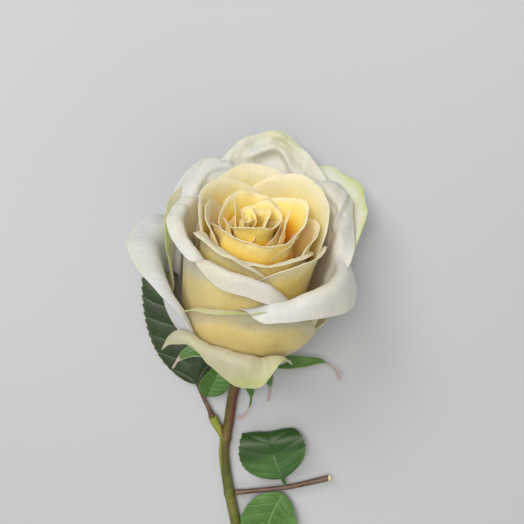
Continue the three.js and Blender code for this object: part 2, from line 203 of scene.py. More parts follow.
# %% The bloom's shape
BLOOM_TILT = 28                       # degrees the bloom's axis is raised above the table
BLOOM_TURN = -8                       # degrees the bloom is turned about the vertical
BLOOM_BASE = Vector((0, 30, 14.55))   # mm, foot of the petals on the axis
LAYERS = 34                           # petals counted from the outside to the centre
CUP_RADIUS = (1.5, 8)                 # mm, inner and outer, where the petals leave the receptacle
CUP_HEIGHT = (6, 0)                   # mm, the same for the height
CONE_SLOPE = (CUP_HEIGHT[0] - CUP_HEIGHT[1]) / (CUP_RADIUS[1] - CUP_RADIUS[0])
BELLY_HEIGHT = (24, 34)               # mm, where a petal stands upright
BELLY_STEPS = ((0, 0.35, 0.6, 1), (1.6, 15.5, 24, 36.5))    # way from centre to outside, radius in mm
BELLY_ROUNDNESS = 1.45
CLAW = 0.13                           # a petal's foot, as a share of its width
SET_BACK = {"outer": 0, "cup": 2.1, "heart": 2.6}           # mm, how far a whorl keeps from the one around

bloom_pose = (
    Matrix.Translation((BLOOM_BASE + CENTRE) * MM)
    @ Matrix.Rotation(math.radians(BLOOM_TURN), 4, "Z")
    @ Matrix.Rotation(math.radians(BLOOM_TILT - 90), 4, "X")
)


def smooth(t):
    t = np.clip(t, 0, 1)
    return t * t * (3 - 2 * t)


def mix(a, b, t):
    return a + (b - a) * t


def bump_at(t, middle, width):
    return np.exp(-(((t - middle) / width) ** 2))


def foot_of_layer(layer, set_back):
    """Radius and height in mm where a layer's petals start, and those of the belly they follow"""
    share = 1 - (layer - 1) / LAYERS
    return {
        "r": mix(*CUP_RADIUS, share) - set_back,
        "z": mix(*CUP_HEIGHT, share) + set_back * CONE_SLOPE,
        "belly": float(np.interp(share, *BELLY_STEPS)) - set_back,
        "belly_height": mix(*BELLY_HEIGHT, share),
    }


for layer in (1, 12, 20, 33):
    print("layer", layer, {k: round(v, 1) for k, v in foot_of_layer(layer, 0).items()})

# %% [markdown]
# These are the petals from the outside in. On the real bloom the lowest petal has folded right
# down, the left one has opened wide, and the two white rims in front lie over the belly like a
# collar. A petal is told by few numbers, in degrees and mm. az is its middle round the axis, 0 to
# the right and 90 to the back, w and len are its width and length. shoulder is the share by which
# the sides are shorter, round squares the top, tip, edge and corner change the length at the
# middle, along the rim and at the corners. lean is the outward slope, and close bends the wall
# inwards. Over the last fold mm the rim rolls over by roll, the softer the larger curl is.
# wave, beats and phase make the rim's waves, crumple and creases its folds, and shift moves its
# top aside. Where a list is given, it runs from the petal's left edge to its right one.
# The rest is colour and painted shade: the first white mm below the rim stay white, a dark tint
# paints shade on a petal that lies in shade, cool tints the petal, and green, edge_green and
# stain say where some green is left. What a row leaves out is taken from the plain petal.

# %% The outer petals
PLAIN_PETAL = {
    "tip": 0, "edge": 0, "corner": 0, "shoulder": 0.34, "round": 2.6, "curl": 8, "close": 0, "shift": 0,
    "wave": 0, "beats": 2.6, "phase": 0, "crumple": 0.8, "creases": (),
    "warm": 0.06, "cool": 0, "painted_shade": 0, "green": 0.12, "green_at": 0, "edge_green": 0, "stain": 0,
}
# Each row's darkening tint is painted shade: it darkens the petals that lie in shade, the lowest one most.
OUTER_PETALS = [
    # the lowest one, folded right down, and a hidden one at the back
    {"az": -97, "w": 49, "len": 65, "lean": 22, "roll": (150, 150, 150, 150, 150, 150, 130, 90, 60),
     "fold": (14, 12, 10, 13.5, 17, 19, 16, 10, 8), "edge": (11.5, 4, -4.5, -4.5, -4, -0.5, -2, -1, 0),
     "curl": 11, "tip": 2, "wave": 0.6, "corner": 0, "crumple": 0.9, "green": 1.2, "green_at": 0.3,
     "edge_green": 0.35, "stain": 0.04, "painted_shade": 1, "warm": 0, "white": 34},
    {"az": 75, "w": 60, "len": 74, "lean": 48, "roll": 20, "fold": 8, "wave": 1, "phase": 2,
     "green": 0.5, "white": 30},
    # wide open on the left, and the yellow green one at the back on the right
    {"az": 191, "w": 67, "len": 76, "lean": 25, "roll": (50, 70, 84), "fold": (18, 18, 17, 12, 7),
     "curl": 12, "tip": 2, "edge": (4, 4.5, 2.5, -3.5, -8), "corner": 1, "wave": 1, "phase": 0.5,
     "green": 0.5, "cool": 1, "warm": 0, "white": 26},
    {"az": 40, "w": 68, "len": 85, "lean": 46, "roll": (20, 10, 20), "fold": 9, "tip": 3,
     "edge": (-10, -1.5, 1.5, 7, 9), "wave": 0.9, "phase": 2.2, "edge_green": 0.8, "green": 0.5,
     "white": 36},
    # the wide front one with the soft low rim, and the green tip that shows on the left
    {"az": -83, "w": 67, "len": 68, "lean": (18, 18, 14, 10, 14), "roll": (60, 75, 20, 0, 0),
     "fold": 6, "curl": 5, "edge": (3, 3, 0, -3, -7), "wave": 1.1, "phase": 0.3, "edge_green": 0.7,
     "stain": 0.04, "warm": 0.13, "painted_shade": 0.6, "white": (8, 7, 6, 2, 1)},
    {"az": 145, "w": 62, "len": 77, "lean": (25, 25, 25, 25, 25, 24, 22, 19.5, 18), "roll": 20, "fold": 8,
     "tip": 1, "edge": (-1.6, -2.2, -0.7, 0.3, 0, -0.3, -0.4, 2, 8.9), "corner": 0, "wave": 0.8,
     "edge_green": 0.35, "green": 1.3, "green_at": 0.75, "painted_shade": 0.3, "white": 40},
    # the tall one at the back
    {"az": 84, "w": 70, "len": 94, "lean": 29, "roll": (15, 10, 15), "fold": 10, "tip": 2,
     "edge": (0, 0, 0, 2, 0), "wave": 1, "beats": 4, "phase": 0.4, "green": 0.5, "crumple": 1.6,
     "painted_shade": 0.2, "cool": 0.5, "white": 40, "creases": (
         (((0.3, 8), (0.03, 6.5), (-0.08, 7.5), (-0.19, 9.5), (-0.27, 12)), 1.8, 1.9),
         (((0.03, 4.2), (-0.14, 6.2), (-0.27, 8.5)), -1.8, 1.3),
         (((0.05, 2.2), (-0.08, 2.8), (-0.2, 1.5)), 1.4, 1.1),
         (((0.16, 12), (-0.06, 12)), -1.9, 2.6),
         (((0.4, 3), (0.3, 16)), 1.0, 2.2))},
    # the white collar in front on the right
    {"az": -35, "w": 71, "len": 84, "lean": (22, 22, 22, 18, 10), "roll": (140, 135, 130, 135, 145),
     "fold": (10, 12.5, 14.5, 17, 19, 18.5, 15, 12, 10), "curl": (12, 12, 11, 9, 7), "shoulder": 0.14,
     "edge": (-5, -4.5, -3, 0, 1, -1, -3, 0, 6), "corner": 7, "wave": 0.9, "phase": 1.2,
     "crumple": 0.6, "white": 22},
    # beside the tall one, on its left and on its right
    {"az": 126, "w": 54, "len": 89, "lean": 23, "roll": (110, 90, 110), "fold": 14, "curl": 9,
     "edge": (1, 3, 2, -2, -4), "wave": 1, "phase": 0.4, "crumple": 0.7, "cool": 0.5,
     "white": 32, "creases": (
         (((0.1, 12), (-0.16, 11.5)), -1.0, 1.8),
         (((0.1, 5.6), (-0.12, 4)), 0.8, 1.6),
         (((0.5, 2), (0.3, 10)), 0.7, 1.8))},
    {"az": 34, "w": 66, "len": 88, "lean": (16, 22, 24, 24, 24), "roll": (20, 80, 85, 90, 100),
     "fold": 12, "curl": 9, "edge": (-10, -6, -1, 5, 6), "wave": 1.3, "beats": 4, "phase": 1,
     "crumple": 1.2, "painted_shade": 0.25, "white": 27, "creases": (
         (((0.05, 2), (-0.12, 6.5), (-0.25, 9.5)), 1.4, 1.3),
         (((0.05, 10.5), (-0.14, 8.5), (-0.19, 4.5)), -1.4, 1.1),
         (((-0.28, 3), (-0.36, 8), (-0.47, 5)), 0.8, 1.1),
         (((0.4, 3), (0.25, 12)), -1.1, 1.6))},
    # the white collar in front on the left, and the narrow one beside it
    {"az": -110, "w": 58, "len": 86, "lean": 8, "roll": (0, 10, 60, 130, 150, 150, 150, 150, 150),
     "fold": (4, 4, 5, 8, 11, 11, 11, 11, 11), "curl": 7, "shoulder": 0.2,
     "edge": (2, -6, -12, -5, -1.5, -2, -3, -4, -5), "wave": 0.8, "phase": 2, "crumple": 0.4,
     "warm": 0.1, "painted_shade": (0.6, 0.5, 0.2, 0, 0), "white": (14, 9, 5, 10, 12, 12, 12, 12, 12)},
    {"az": 186, "w": 48, "len": 83, "lean": 8, "roll": (120, 110, 120), "fold": 9, "curl": 7,
     "shoulder": 0.08, "wave": 0.9, "phase": 1, "corner": 6, "painted_shade": 0.1, "white": 40},
]
OUTER_PETALS = [{**PLAIN_PETAL, "corner": 4, **petal} for petal in OUTER_PETALS]
print("outer petals:", len(OUTER_PETALS))

# %% [markdown]
# The cup holds the heart like a bowl, with soft, nearly upright walls. The heart's petals are
# smaller towards the middle, and each stands a third to a half turn from the last one, as they
# grow. They share a look: a short rim, walls that close inwards and more crumple than outside,
# because they had less room in the bud. Places given one by one are truer to a real heart than
# an even spiral, which looks like a drill.

# %% The petals of the cup and the heart
BROAD = {"round": 3.2, "shoulder": 0.28}      # a petal with a broad, flat top
CUP_PETALS = [
    # by turns at the back and in front, from the outside in
    {"az": 96, "w": 60, "len": 80, "lean": 27, "roll": 20, "fold": 6, **BROAD, "wave": 0.6, "phase": 1},
    {"az": -44, "w": 56, "len": 76, "lean": 21, "roll": 30, "fold": 5, "wave": 0.5, "phase": 2},
    {"az": 48, "w": 60, "len": 81, "lean": 21, "roll": 20, "fold": 5, **BROAD, "wave": 0.5, "phase": 1},
    {"az": -125, "w": 56, "len": 77, "lean": 17, "roll": 70, "fold": 5, "curl": 5, "edge": (-5, 0, 0, 0, 0),
     "wave": 0.6, "phase": 1},
    {"az": 146, "w": 54, "len": 78, "lean": 13, "roll": 60, "fold": 5, **BROAD, "wave": 0.5, "phase": 1},
    {"az": -4, "w": 50, "len": 72, "lean": 11, "roll": 30, "fold": 5, "wave": 0.8, "phase": 1},
    {"az": -94, "w": 60, "len": 73, "lean": 17, "roll": 60, "fold": 5, "curl": 4, "round": 3.2,
     "shoulder": 0.14, "edge": (2, 1, -2, 0, 2), "wave": 0.6},
    {"az": 182, "w": 38, "len": 75, "lean": 11, "roll": 40, "fold": 5, "wave": 0.5, "phase": 1},
]
CUP_PETALS = [{**PLAIN_PETAL, **petal} for petal in CUP_PETALS]
HEART_STEP = 0.95                     # layers between one petal of the heart and the next
HEART_LOOK = {"fold": 4, "curl": 4, "tip": 1.5, "close": 3, "beats": 3.4, "crumple": 1.8}
HEART_PETALS = [
    # the broad one in front, the pale one on the right, two behind and the pointed ones on the left
    {"az": -92, "w": 54, "len": 69, "lean": (18, 12, 3, 5, 9), "roll": (30, 50, 20), "wave": 0.8,
     "shoulder": 0.12, "edge": (3, 2, 0, 1, 1)},
    {"az": 28, "w": 48, "len": 73, "lean": (8, 16, 16, 12, 10), "roll": 30, "wave": 1, "round": 2,
     "shoulder": 0.2},
    {"az": 118, "w": 44, "len": 71, "lean": 8, "roll": 20, "wave": 1.2, "shoulder": 0.2,
     "edge": (0, -1, 0, 1, 0)},
    {"az": 0, "w": 28, "len": 73, "lean": 3, "roll": 10, "wave": 0.7, "round": 1.1, "shoulder": 0.36},
    {"az": 202, "w": 26, "len": 68.5, "lean": 8, "roll": 20, "wave": 0.9, "round": 1.2, "shoulder": 0.32},
    {"az": 62, "w": 38, "len": 70, "lean": 2, "roll": 20, "wave": 1.2, "round": 1.8, "shoulder": 0.2,
     "edge": (0, 1, 0, -1.5, 0)},
    {"az": -66, "w": 37, "len": 69, "lean": (2, 2, 6), "roll": (20, 40, 60), "wave": 0.7, "shoulder": 0.18,
     "edge": (0, 0, 0, 1, 0)},
    {"az": 162, "w": 24, "len": 69.5, "lean": 3, "roll": 20, "wave": 0.9, "round": 1.2, "shoulder": 0.3},
    {"az": 14, "w": 28, "len": 69, "lean": 6, "roll": 30, "wave": 0.9, "round": 2, "shoulder": 0.2},
    {"az": 228, "w": 20, "len": 66, "lean": 2, "roll": 20, "wave": 0.8, "round": 1.2, "shoulder": 0.3},
    {"az": 100, "w": 22, "len": 67, "lean": -2, "roll": 20, "wave": 0.8, "round": 1.6, "shoulder": 0.2},
    {"az": -50, "w": 19, "len": 65.5, "lean": -2, "roll": 50, "wave": 0.6, "round": 2, "shoulder": 0.2},
    {"az": 170, "w": 16, "len": 65, "lean": -4, "roll": 20, "wave": 0.6, "round": 1.5, "shoulder": 0.25},
    {"az": 30, "w": 13, "len": 63, "lean": -5, "roll": 20, "wave": 0.5, "round": 1.5, "shoulder": 0.25},
]
HEART_PETALS = [
    {**PLAIN_PETAL, **petal, **HEART_LOOK, "phase": 2.1 * i, "shift": -0.42 * i}
    for i, petal in enumerate(HEART_PETALS)]
print("cup petals:", len(CUP_PETALS), "heart petals:", len(HEART_PETALS))

# %% [markdown]
# The march itself: every column climbs in 72 short steps. Below the belly's height the slope
# follows the belly, above it the petal leans outwards, and over its last few millimetres the
# curl is added, which rolls the rim over. The sides of a petal are shorter than its middle, and
# a little irregular, as real edges are. A list of numbers becomes a smooth curve across the petal.

# %% March the columns of a petal
STEPS = 72
EDGE_RIPPLE = 0.35                    # mm, how uneven a petal's edge is
CORNER_FROM = 0.7                     # share of the half width where the corners start
LEAN_POWER = 1.6                      # a petal leans out little at first and more towards its rim


def ripple(q, seed, beats, depth):
    """A soft irregular wave across a petal, made of three sines with fixed phases"""
    return depth * (
        np.sin(beats * q + 1.7 * seed) + 0.6 * np.sin(1.73 * beats * q + 2.9 * seed)
        + 0.4 * np.sin(2.9 * beats * q + 4.1 * seed)
    )


def across(values, q):
    """A smooth curve through numbers that are given from a petal's left edge to its right one"""
    values = np.atleast_1d(np.asarray(values, float))
    last = len(values) - 1
    if last == 0:
        return np.full_like(q, values[0])
    at = (q + 1) / 2 * last
    k = np.minimum(at.astype(int), last - 1)
    w = at - k
    p0, p1, p2, p3 = (values[np.clip(k + n, 0, last)] for n in (-1, 0, 1, 2))
    v1, v2 = (p2 - p0) / 2, (p3 - p1) / 2
    return (2 * p1 - 2 * p2 + v1 + v2) * w**3 + (3 * p2 - 3 * p1 - 2 * v1 - v2) * w**2 + v1 * w + p1


def march(petal, foot, q, seed):
    """Length of each column and its radius, height and unrolled radius at every step"""
    # the columns' length, with the tip, the uneven edge and the rounded corners
    outline = 1 - petal["shoulder"] * np.abs(q) ** petal["round"]
    length = petal["len"] * outline + petal["tip"] * bump_at(q, 0, 0.16)
    length = length + across(petal["edge"], q)
    length = length + ripple(q, seed, 9, EDGE_RIPPLE) * (1 - bump_at(q, 0, 0.2))
    corner = petal["corner"] * smooth((np.abs(q) - CORNER_FROM) / (1 - CORNER_FROM)) ** 1.5
    length = length - corner
    # how far each column leans out, and how its rim rolls over
    roll = np.radians(across(petal["roll"], q))
    fold = np.maximum(across(petal["fold"], q) - corner, 2)
    lean = across(petal["lean"], q)
    # flat_r and flat_z climb without the roll, so the belly is measured on the unrolled petal
    r = np.full_like(q, foot["r"])
    z = np.full_like(q, foot["z"])
    flat_r, flat_z = r.copy(), z.copy()
    wall_start = np.zeros_like(q)
    steepness = (foot["belly"] - foot["r"]) * BELLY_ROUNDNESS / foot["belly_height"]
    track = [(r.copy(), z.copy(), flat_r.copy())]
    for i in range(STEPS):
        s = (i + 0.5) * length / STEPS
        rise = (flat_z - foot["z"]) / foot["belly_height"]
        below = rise < 1
        wall_start = np.where(below, s, wall_start)
        u = (s - wall_start) / np.maximum(petal["len"] - wall_start, 1)
        closing = petal["close"] * np.sin(np.pi * np.minimum(u, 1))
        wall = np.radians(lean * np.clip(u, 0, 1.2) ** LEAN_POWER - closing)
        belly = np.arctan(steepness * np.maximum(1 - rise, 0) ** (BELLY_ROUNDNESS - 1))
        slope = np.where(below, belly, wall)
        curl = roll * smooth((fold - (length - s)) / across(petal["curl"], q))
        flat_r = flat_r + np.sin(slope) * length / STEPS
        flat_z = flat_z + np.cos(slope) * length / STEPS
        r = r + np.sin(slope + curl) * length / STEPS
        z = z + np.cos(slope + curl) * length / STEPS
        track.append((r.copy(), z.copy(), flat_r.copy()))
    return length, np.array(track)


lengths, _ = march(OUTER_PETALS[0], foot_of_layer(1, 0), np.array([-1.0, 0.0, 1.0]), 1)
print("lowest petal: left, middle and right column in mm", lengths.round(1))

# %% [markdown]
# Sweeping the columns round the axis gives the middle surface of the petal as a grid. The rim
# waves a little, and its upper part is crumpled: soft noise and, on three petals, drawn creases
# push it along its own normal.

# %% Sweep and crumple a petal
FULL_WIDTH_AT = 0.6                   # share of its length where a petal has its full width
CRUMPLE_FROM = 0.45                   # share of its length where the crumples start
FRILL = 0.22                          # mm, depth of the small waves on the rim
WAVE_DEPTH = 2.2                      # mm, for a petal whose wave is 1
CRUMPLE_SIZE = (7, 9)                 # mm across and along


def row_places(petal, v, length):
    """Rows lie closer together in the fold, where the petal bends most"""
    fold = float(np.max(petal["fold"]))
    share = min(0.5, max(0.25, fold / petal["len"] * 2.2))     # of the rows, for the fold
    fold_start = 1 - fold / length
    low = v / (1 - share) * fold_start
    high = fold_start + (v - 1 + share) / share * (1 - fold_start)
    return length * np.where(v < 1 - share, low, high)


def petal_surface(petal, foot, q, v, seed):
    """Points of the middle surface in mm, and the place s along each column, for columns q and rows v"""
    length, track = march(petal, foot, q, seed)
    s = row_places(petal, v[:, None], length[None, :])
    at = s / length * STEPS
    k = np.minimum(at.astype(int), STEPS - 1)
    part = at - k
    column = np.arange(len(q))[None, :]
    r, z, flat = (mix(track[k, n, column], track[k + 1, n, column], part) for n in range(3))
    spread = np.sin(np.pi / 2 * np.minimum(1, s / (FULL_WIDTH_AT * petal["len"]))) ** 1.5
    half_width = petal["w"] / 2 * mix(CLAW, 1, spread)
    wrap = np.minimum(np.maximum(flat, 1.2), foot["belly"] * 1.25 + 2)     # mm, the round it follows
    u = s / petal["len"]
    wave = petal["wave"] * WAVE_DEPTH * np.maximum(0, u - CRUMPLE_FROM) ** 1.5
    beat = petal["beats"] * q[None, :] * np.pi / 2
    phase = petal["phase"]
    frill = ripple(q[None, :], seed + 3, 7, FRILL) * smooth((s / length - 0.8) / 0.2)
    r = r + wave * np.sin(beat + phase) + frill
    z = z + wave * 0.5 * np.sin(beat * 1.3 + phase * 1.7) + frill * 0.6
    angle = np.radians(petal["az"]) + q[None, :] * half_width / wrap
    shift = petal["shift"] * smooth(s / length)
    return np.stack([r * np.cos(angle) + shift, r * np.sin(angle), z], axis=-1), s, length


def stroke_depth(petal, q, below):
    """Sum of the drawn creases: each runs along a line of (q, mm below the rim) with a depth and a width"""
    x, total = q * petal["w"] / 2, np.zeros(below.shape)
    for line, depth, width in petal["creases"]:
        nearest = np.full(below.shape, 1e9)
        for (q0, b0), (q1, b1) in zip(line, line[1:]):
            x0, dx, dy = q0 * petal["w"] / 2, (q1 - q0) * petal["w"] / 2, b1 - b0
            t = np.clip(((x - x0) * dx + (below - b0) * dy) / (dx * dx + dy * dy), 0, 1)
            nearest = np.minimum(nearest, np.hypot(x - x0 - t * dx, below - b0 - t * dy))
        total += depth * np.exp(-((nearest / width) ** 2))
    return total


def crease(points, petal, q, s, length, seed):
    """Pushes the upper part of a petal in and out along its normal, in soft crumples and drawn creases"""
    along = np.gradient(points, axis=0)
    across_it = np.gradient(points, axis=1)
    normal = np.cross(along, across_it)
    normal /= np.linalg.norm(normal, axis=-1, keepdims=True) + 1e-9
    push = np.zeros(points.shape[:2])
    for i, j in np.ndindex(push.shape):
        place = Vector((
            q[j] * petal["w"] / 2 / CRUMPLE_SIZE[0], s[i, j] / CRUMPLE_SIZE[1], 3.3 * seed))
        push[i, j] = noise.noise(place) - 0.5 * abs(noise.noise(place * 2.1))
    reach = smooth((s / length - CRUMPLE_FROM) / 0.4)
    move = push * petal["crumple"] * reach + stroke_depth(petal, q[None, :], length - s)
    return points + normal * move[..., None]


surface, _, _ = petal_surface(
    CUP_PETALS[0], foot_of_layer(13, SET_BACK["cup"]), np.linspace(-1, 1, 9), np.linspace(0, 1, 9), 1)
print("first cup petal: box in mm", surface.min(axis=(0, 1)).round(1), surface.max(axis=(0, 1)).round(1))

# %% [markdown]
# What was hidden in the bud is yellow, and what saw the light is white. So each point gets a
# number for how warm its colour is, which grows from the rim downwards and from whorl to whorl.
# A second number says how green it is, and two more how cool it is and how much painted shade
# darkens it where it lies in shade. All four are stored on the points, where the finish finds
# them, so they need no picture and no seam.

# %% Colour numbers of a petal
def warmth(petal, whorl, share, q, s, length):
    """0 is white, 0.5 pale yellow, 1 deep gold; share is 1 for a whorl's outermost petal"""
    below_rim = length - s
    u = s / length
    if whorl == "outer":
        white = across(petal["white"], q)
        body = 0.36 * smooth((below_rim - white) / np.maximum(0.9 * white, 10))
        return petal["warm"] + body + 0.12 * smooth(1.2 - 2 * u)
    if whorl == "cup":
        wall = 0.3 * smooth((below_rim - 2) / 14) + 0.2 * smooth((below_rim - 18) / 16)
        return 0.36 + wall - 0.1 * np.exp(-below_rim / 1.5)
    wall = 0.16 * smooth(below_rim / 5) + 0.36 * smooth((below_rim - 5) / 9)
    return 0.42 + wall + 0.22 * (1 - share) - 0.14 * np.exp(-below_rim / 1.2)


def greenness(petal, q, s, length):
    """Green stays longest at a petal's tip and along the edges of the guard petals"""
    rim = length - s
    side = (1 - np.abs(q)) * petal["w"] / 2
    # the green fades out from the tip, the edge and the foot over 4.5, 2.6 and 7 mm
    tip = petal["green"] * bump_at(q, petal["green_at"], 0.3) * np.exp(-rim / 4.5)
    edge = petal["edge_green"] * np.exp(-np.minimum(rim, side + 2) / 2.6)
    foot = 0.5 * np.exp(-s / 7)
    return np.clip(tip + edge + foot + petal["stain"], 0, 1)


at_foot = warmth(CUP_PETALS[0], "cup", 1, np.zeros(1), np.zeros(1), np.array([80.0]))[0]
at_rim = warmth(CUP_PETALS[0], "cup", 1, np.zeros(1), np.array([80.0]), np.array([80.0]))[0]
print("first cup petal: warmth", round(at_foot, 2), "at its foot and", round(at_rim, 2), "at its rim")

# %% [markdown]
# A grid primitive is the start of each petal. Its points are moved onto the swept surface, a
# Solidify modifier gives it a wall that thins out towards the rim, as a real petal does, and the
# modifier is applied. A Subdivision modifier could smooth a coarser grid, but a fine grid keeps
# the small edges and creases sharper.

# %% Make one petal
PETAL_WALL = 0.62                     # mm at the foot
RIM_WALL = 0.5                        # share of the wall that is left at the rim


def start_grid(columns, rows):
    """A flat grid, with the column and the row of each of its points"""
    deselect()
    bpy.ops.mesh.primitive_grid_add(x_subdivisions=columns, y_subdivisions=rows, size=2)
    piece = bpy.context.object
    flat = np.empty(len(piece.data.vertices) * 3)
    piece.data.vertices.foreach_get("co", flat)
    flat = flat.reshape(-1, 3)
    column = np.rint((flat[:, 0] + 1) / 2 * columns).astype(int)
    row = np.rint((flat[:, 1] + 1) / 2 * rows).astype(int)
    return piece, column, row


def lay_uv(mesh, sideways, along):
    """Writes two numbers of each point into the UV map"""
    corner = np.empty(len(mesh.loops), dtype=np.int32)
    mesh.loops.foreach_get("vertex_index", corner)
    uv = np.stack([sideways[corner], along[corner]], axis=-1)
    mesh.uv_layers.active.data.foreach_set("uv", uv.ravel().astype(np.float32))


def add_float(mesh, name, values):
    """Stores a number on each point, for the finish to read"""
    layer = mesh.attributes.new(name, "FLOAT", "POINT")
    layer.data.foreach_set("value", np.ascontiguousarray(values, dtype=np.float32).ravel())


def make_petal(petal, foot, whorl, share, columns, rows, seed):
    """A petal as a closed thin shell in the bloom's place, with its colour numbers"""
    piece, column, row = start_grid(columns, rows)
    mesh = piece.data
    q = np.linspace(-1, 1, columns + 1)
    v = np.linspace(0, 1, rows + 1)
    points, s, length = petal_surface(petal, foot, q, v, seed)
    points = crease(points, petal, q, s, length, seed)
    mesh.vertices.foreach_set("co", (points[row, column] * MM).ravel())
    add_float(mesh, "warm", warmth(petal, whorl, share, q, s, length)[row, column])
    add_float(mesh, "green", greenness(petal, q[None, :], s, length)[row, column])
    add_float(mesh, "cool", np.full(len(row), petal["cool"]))
    # how much painted shade darkens each column of the petal
    add_float(mesh, "painted_shade", across(petal["painted_shade"], q)[column])
    lay_uv(mesh, q[column] * petal["w"] / 20, s[row, column] / 10)     # one unit is a centimetre
    wall = piece.vertex_groups.new(name="wall")
    thickness = mix(1, RIM_WALL, smooth((s / length - 0.7) / 0.3))
    for index, amount in enumerate(thickness[row, column]):
        wall.add([index], float(amount), "REPLACE")
    piece.data.transform(bloom_pose)
    solidify = piece.modifiers.new("wall", "SOLIDIFY")
    solidify.thickness = PETAL_WALL * MM
    solidify.offset = 0
    solidify.vertex_group = "wall"
    bpy.ops.object.modifier_apply(modifier=solidify.name)
    return piece


def press_on_table(piece):
    """A petal or leaf that reaches the table is pressed flat on it"""
    for vertex in piece.data.vertices:
        vertex.co.z = max(vertex.co.z, 0.0)


print("a petal is", PETAL_WALL, "mm thick at its foot and", PETAL_WALL * RIM_WALL, "mm at its rim")

# %% [markdown]
# Petal skin is made of rounded cells that scatter light, so it looks velvety, and thin as it is
# it lets light through: a shaded petal glows. Subsurface scattering over about two millimetres
# gives both. The colour runs from white rims through cream to gold where the petal was hidden in
# the bud. Then come the tints: a cool one on some petals, painted shade on petals that lie in
# shade, and green in cloudy spots. Fine veins run up from the foot, a millimetre or so apart.

# %% Petal finish
petal_skin, tree, shader = new_material("rose_petal_skin", {
    "Roughness": 0.52, "Specular IOR Level": 0.35, "Subsurface Weight": 0.75,
    "Subsurface Radius": (0.8, 0.7, 0.45), "Subsurface Scale": 0.003,
    "Sheen Weight": 0.12, "Sheen Roughness": 0.4,
})
place = add_node(tree, "TexCoord")
warm, cool, painted_shade, green = (
    add_node(tree, "Attribute", {"attribute_name": name}).outputs["Fac"]
    for name in ("warm", "cool", "painted_shade", "green"))
cloud = add_node(tree, "TexNoise", values={"Scale": 70.0, "Detail": 3.0}, links={
    "Vector": place.outputs["Object"]})
shift = add_node(tree, "Math", {"operation": "MULTIPLY_ADD"}, {1: 0.16, 2: -0.08}, {
    0: cloud.outputs["Fac"]})
warm_spot = add_node(tree, "Math", {"operation": "ADD", "use_clamp": True}, links={
    0: warm, 1: shift.outputs["Value"]})
skin = add_node(tree, "ValToRGB", links={"Fac": warm_spot.outputs["Value"]})
set_ramp(skin, [
    (0.0, "#d7d4cd"), (0.14, "#e0d6bf"), (0.34, "#eedeb4"), (0.56, "#fde091"),
    (0.74, "#fed568"), (0.88, "#ffc446"), (1.0, "#fda32a")])
multiply = {"data_type": "RGBA", "blend_type": "MULTIPLY"}
cool_tint = add_node(tree, "Mix", multiply, {7: linear("#f0f6ff")}, {
    0: cool, 6: skin.outputs["Color"]})
# painted shade: a dark, warm tint on the petals that lie in shade
painted_shade_tint = add_node(tree, "Mix", multiply, {7: linear("#d6cfbd")}, {
    0: painted_shade, 6: cool_tint.outputs[2]})
green_spot = add_node(tree, "Math", {"operation": "MULTIPLY", "use_clamp": True}, links={
    0: green, 1: cloud.outputs["Fac"]})
green_strength = add_node(tree, "Math", {"operation": "MULTIPLY", "use_clamp": True}, {1: 1.7}, {
    0: green_spot.outputs["Value"]})
with_green = add_node(tree, "Mix", {"data_type": "RGBA"}, {7: linear("#aab866")}, {
    0: green_strength.outputs["Value"], 6: painted_shade_tint.outputs[2]})
stretch = add_node(tree, "Mapping", values={"Scale": (7.0, 0.5, 1.0)}, links={
    "Vector": place.outputs["UV"]})
veins = add_node(tree, "TexNoise", values={"Scale": 1.0, "Detail": 3.0, "Roughness": 0.6}, links={
    "Vector": stretch.outputs["Vector"]})
vein_tone = add_node(tree, "ValToRGB", links={"Fac": veins.outputs["Fac"]})
set_ramp(vein_tone, [(0.3, "#e9e6de"), (0.65, "#ffffff")])
veined = add_node(tree, "Mix", multiply, {0: 0.3}, {
    6: with_green.outputs[2], 7: vein_tone.outputs["Color"]})
tree.links.new(veined.outputs[2], shader.inputs["Base Color"])
cells = add_node(tree, "TexNoise", values={"Scale": 1600.0, "Detail": 1.0}, links={
    "Vector": place.outputs["Object"]})
relief = add_node(tree, "Math", {"operation": "MULTIPLY_ADD"}, {1: 0.25}, {
    0: cells.outputs["Fac"], 2: veins.outputs["Fac"]})
bump = add_node(tree, "Bump", values={"Strength": 0.35, "Distance": 0.0004}, links={
    "Height": relief.outputs["Value"]})
tree.links.new(bump.outputs["Normal"], shader.inputs["Normal"])
print("petal skin has", len(tree.nodes), "nodes")

# %% [markdown]
# Now the bloom is put together from the outside in, twelve white petals, eight cream ones and
# the golden heart. The large petals have the finer grids, because their rims are seen closest.
# The heart's petals all start on a small core, which the next cells build.

# %% The petals of the bloom
HEART_FOOT = (2.4, 7.5)               # mm, largest radius and height where the heart's petals start
bloom_triangles = 0
WHORLS = [                            # name, petals, first layer, layers between, columns and rows
    ("outer", OUTER_PETALS, 1, 1, 56, 64),
    ("cup", CUP_PETALS, 13, 1, 44, 50),
    ("heart", HEART_PETALS, 21.5, HEART_STEP, 32, 40),
]
for whorl, petals, first, step, columns, rows in WHORLS:
    for i, petal in enumerate(petals):
        foot = foot_of_layer(first + step * i, SET_BACK[whorl])
        if whorl == "heart":
            foot["r"] = min(foot["r"], HEART_FOOT[0])
            foot["z"] = HEART_FOOT[1]
        share = 1 - i / len(petals)
        piece = make_petal(petal, foot, whorl, share, columns, rows, seed=len(petals) + 2 * i)
        press_on_table(piece)
        finish_piece(piece, f"{whorl}_petal_{i + 1:02d}", f"{whorl}_petals", [petal_skin])
        bloom_triangles += 2 * len(piece.data.polygons)
print("bloom:", bloom_triangles, "triangles")

# %% [markdown]
# Under the petals sits the receptacle, a small green urn that later becomes the hip. It is
# turned, so it starts as a circle that is extruded upwards and resized ring by ring, as on a
# lathe, and its top is a low cone on which the petals stand. The heart's core is turned too.

# %% Receptacle
RECEPTACLE = [(2.9, -13), (4.6, -11.4), (6.4, -8), (7.3, -4.6), (8.2, -2), (8.9, -1.2), (8.4, -1.1),
              (1.5, 5.2), (0.3, 5.38)]
CORE = [(2.2, 7.1), (4, 9.4), (3.6, 14), (2, 18), (0.4, 20)]


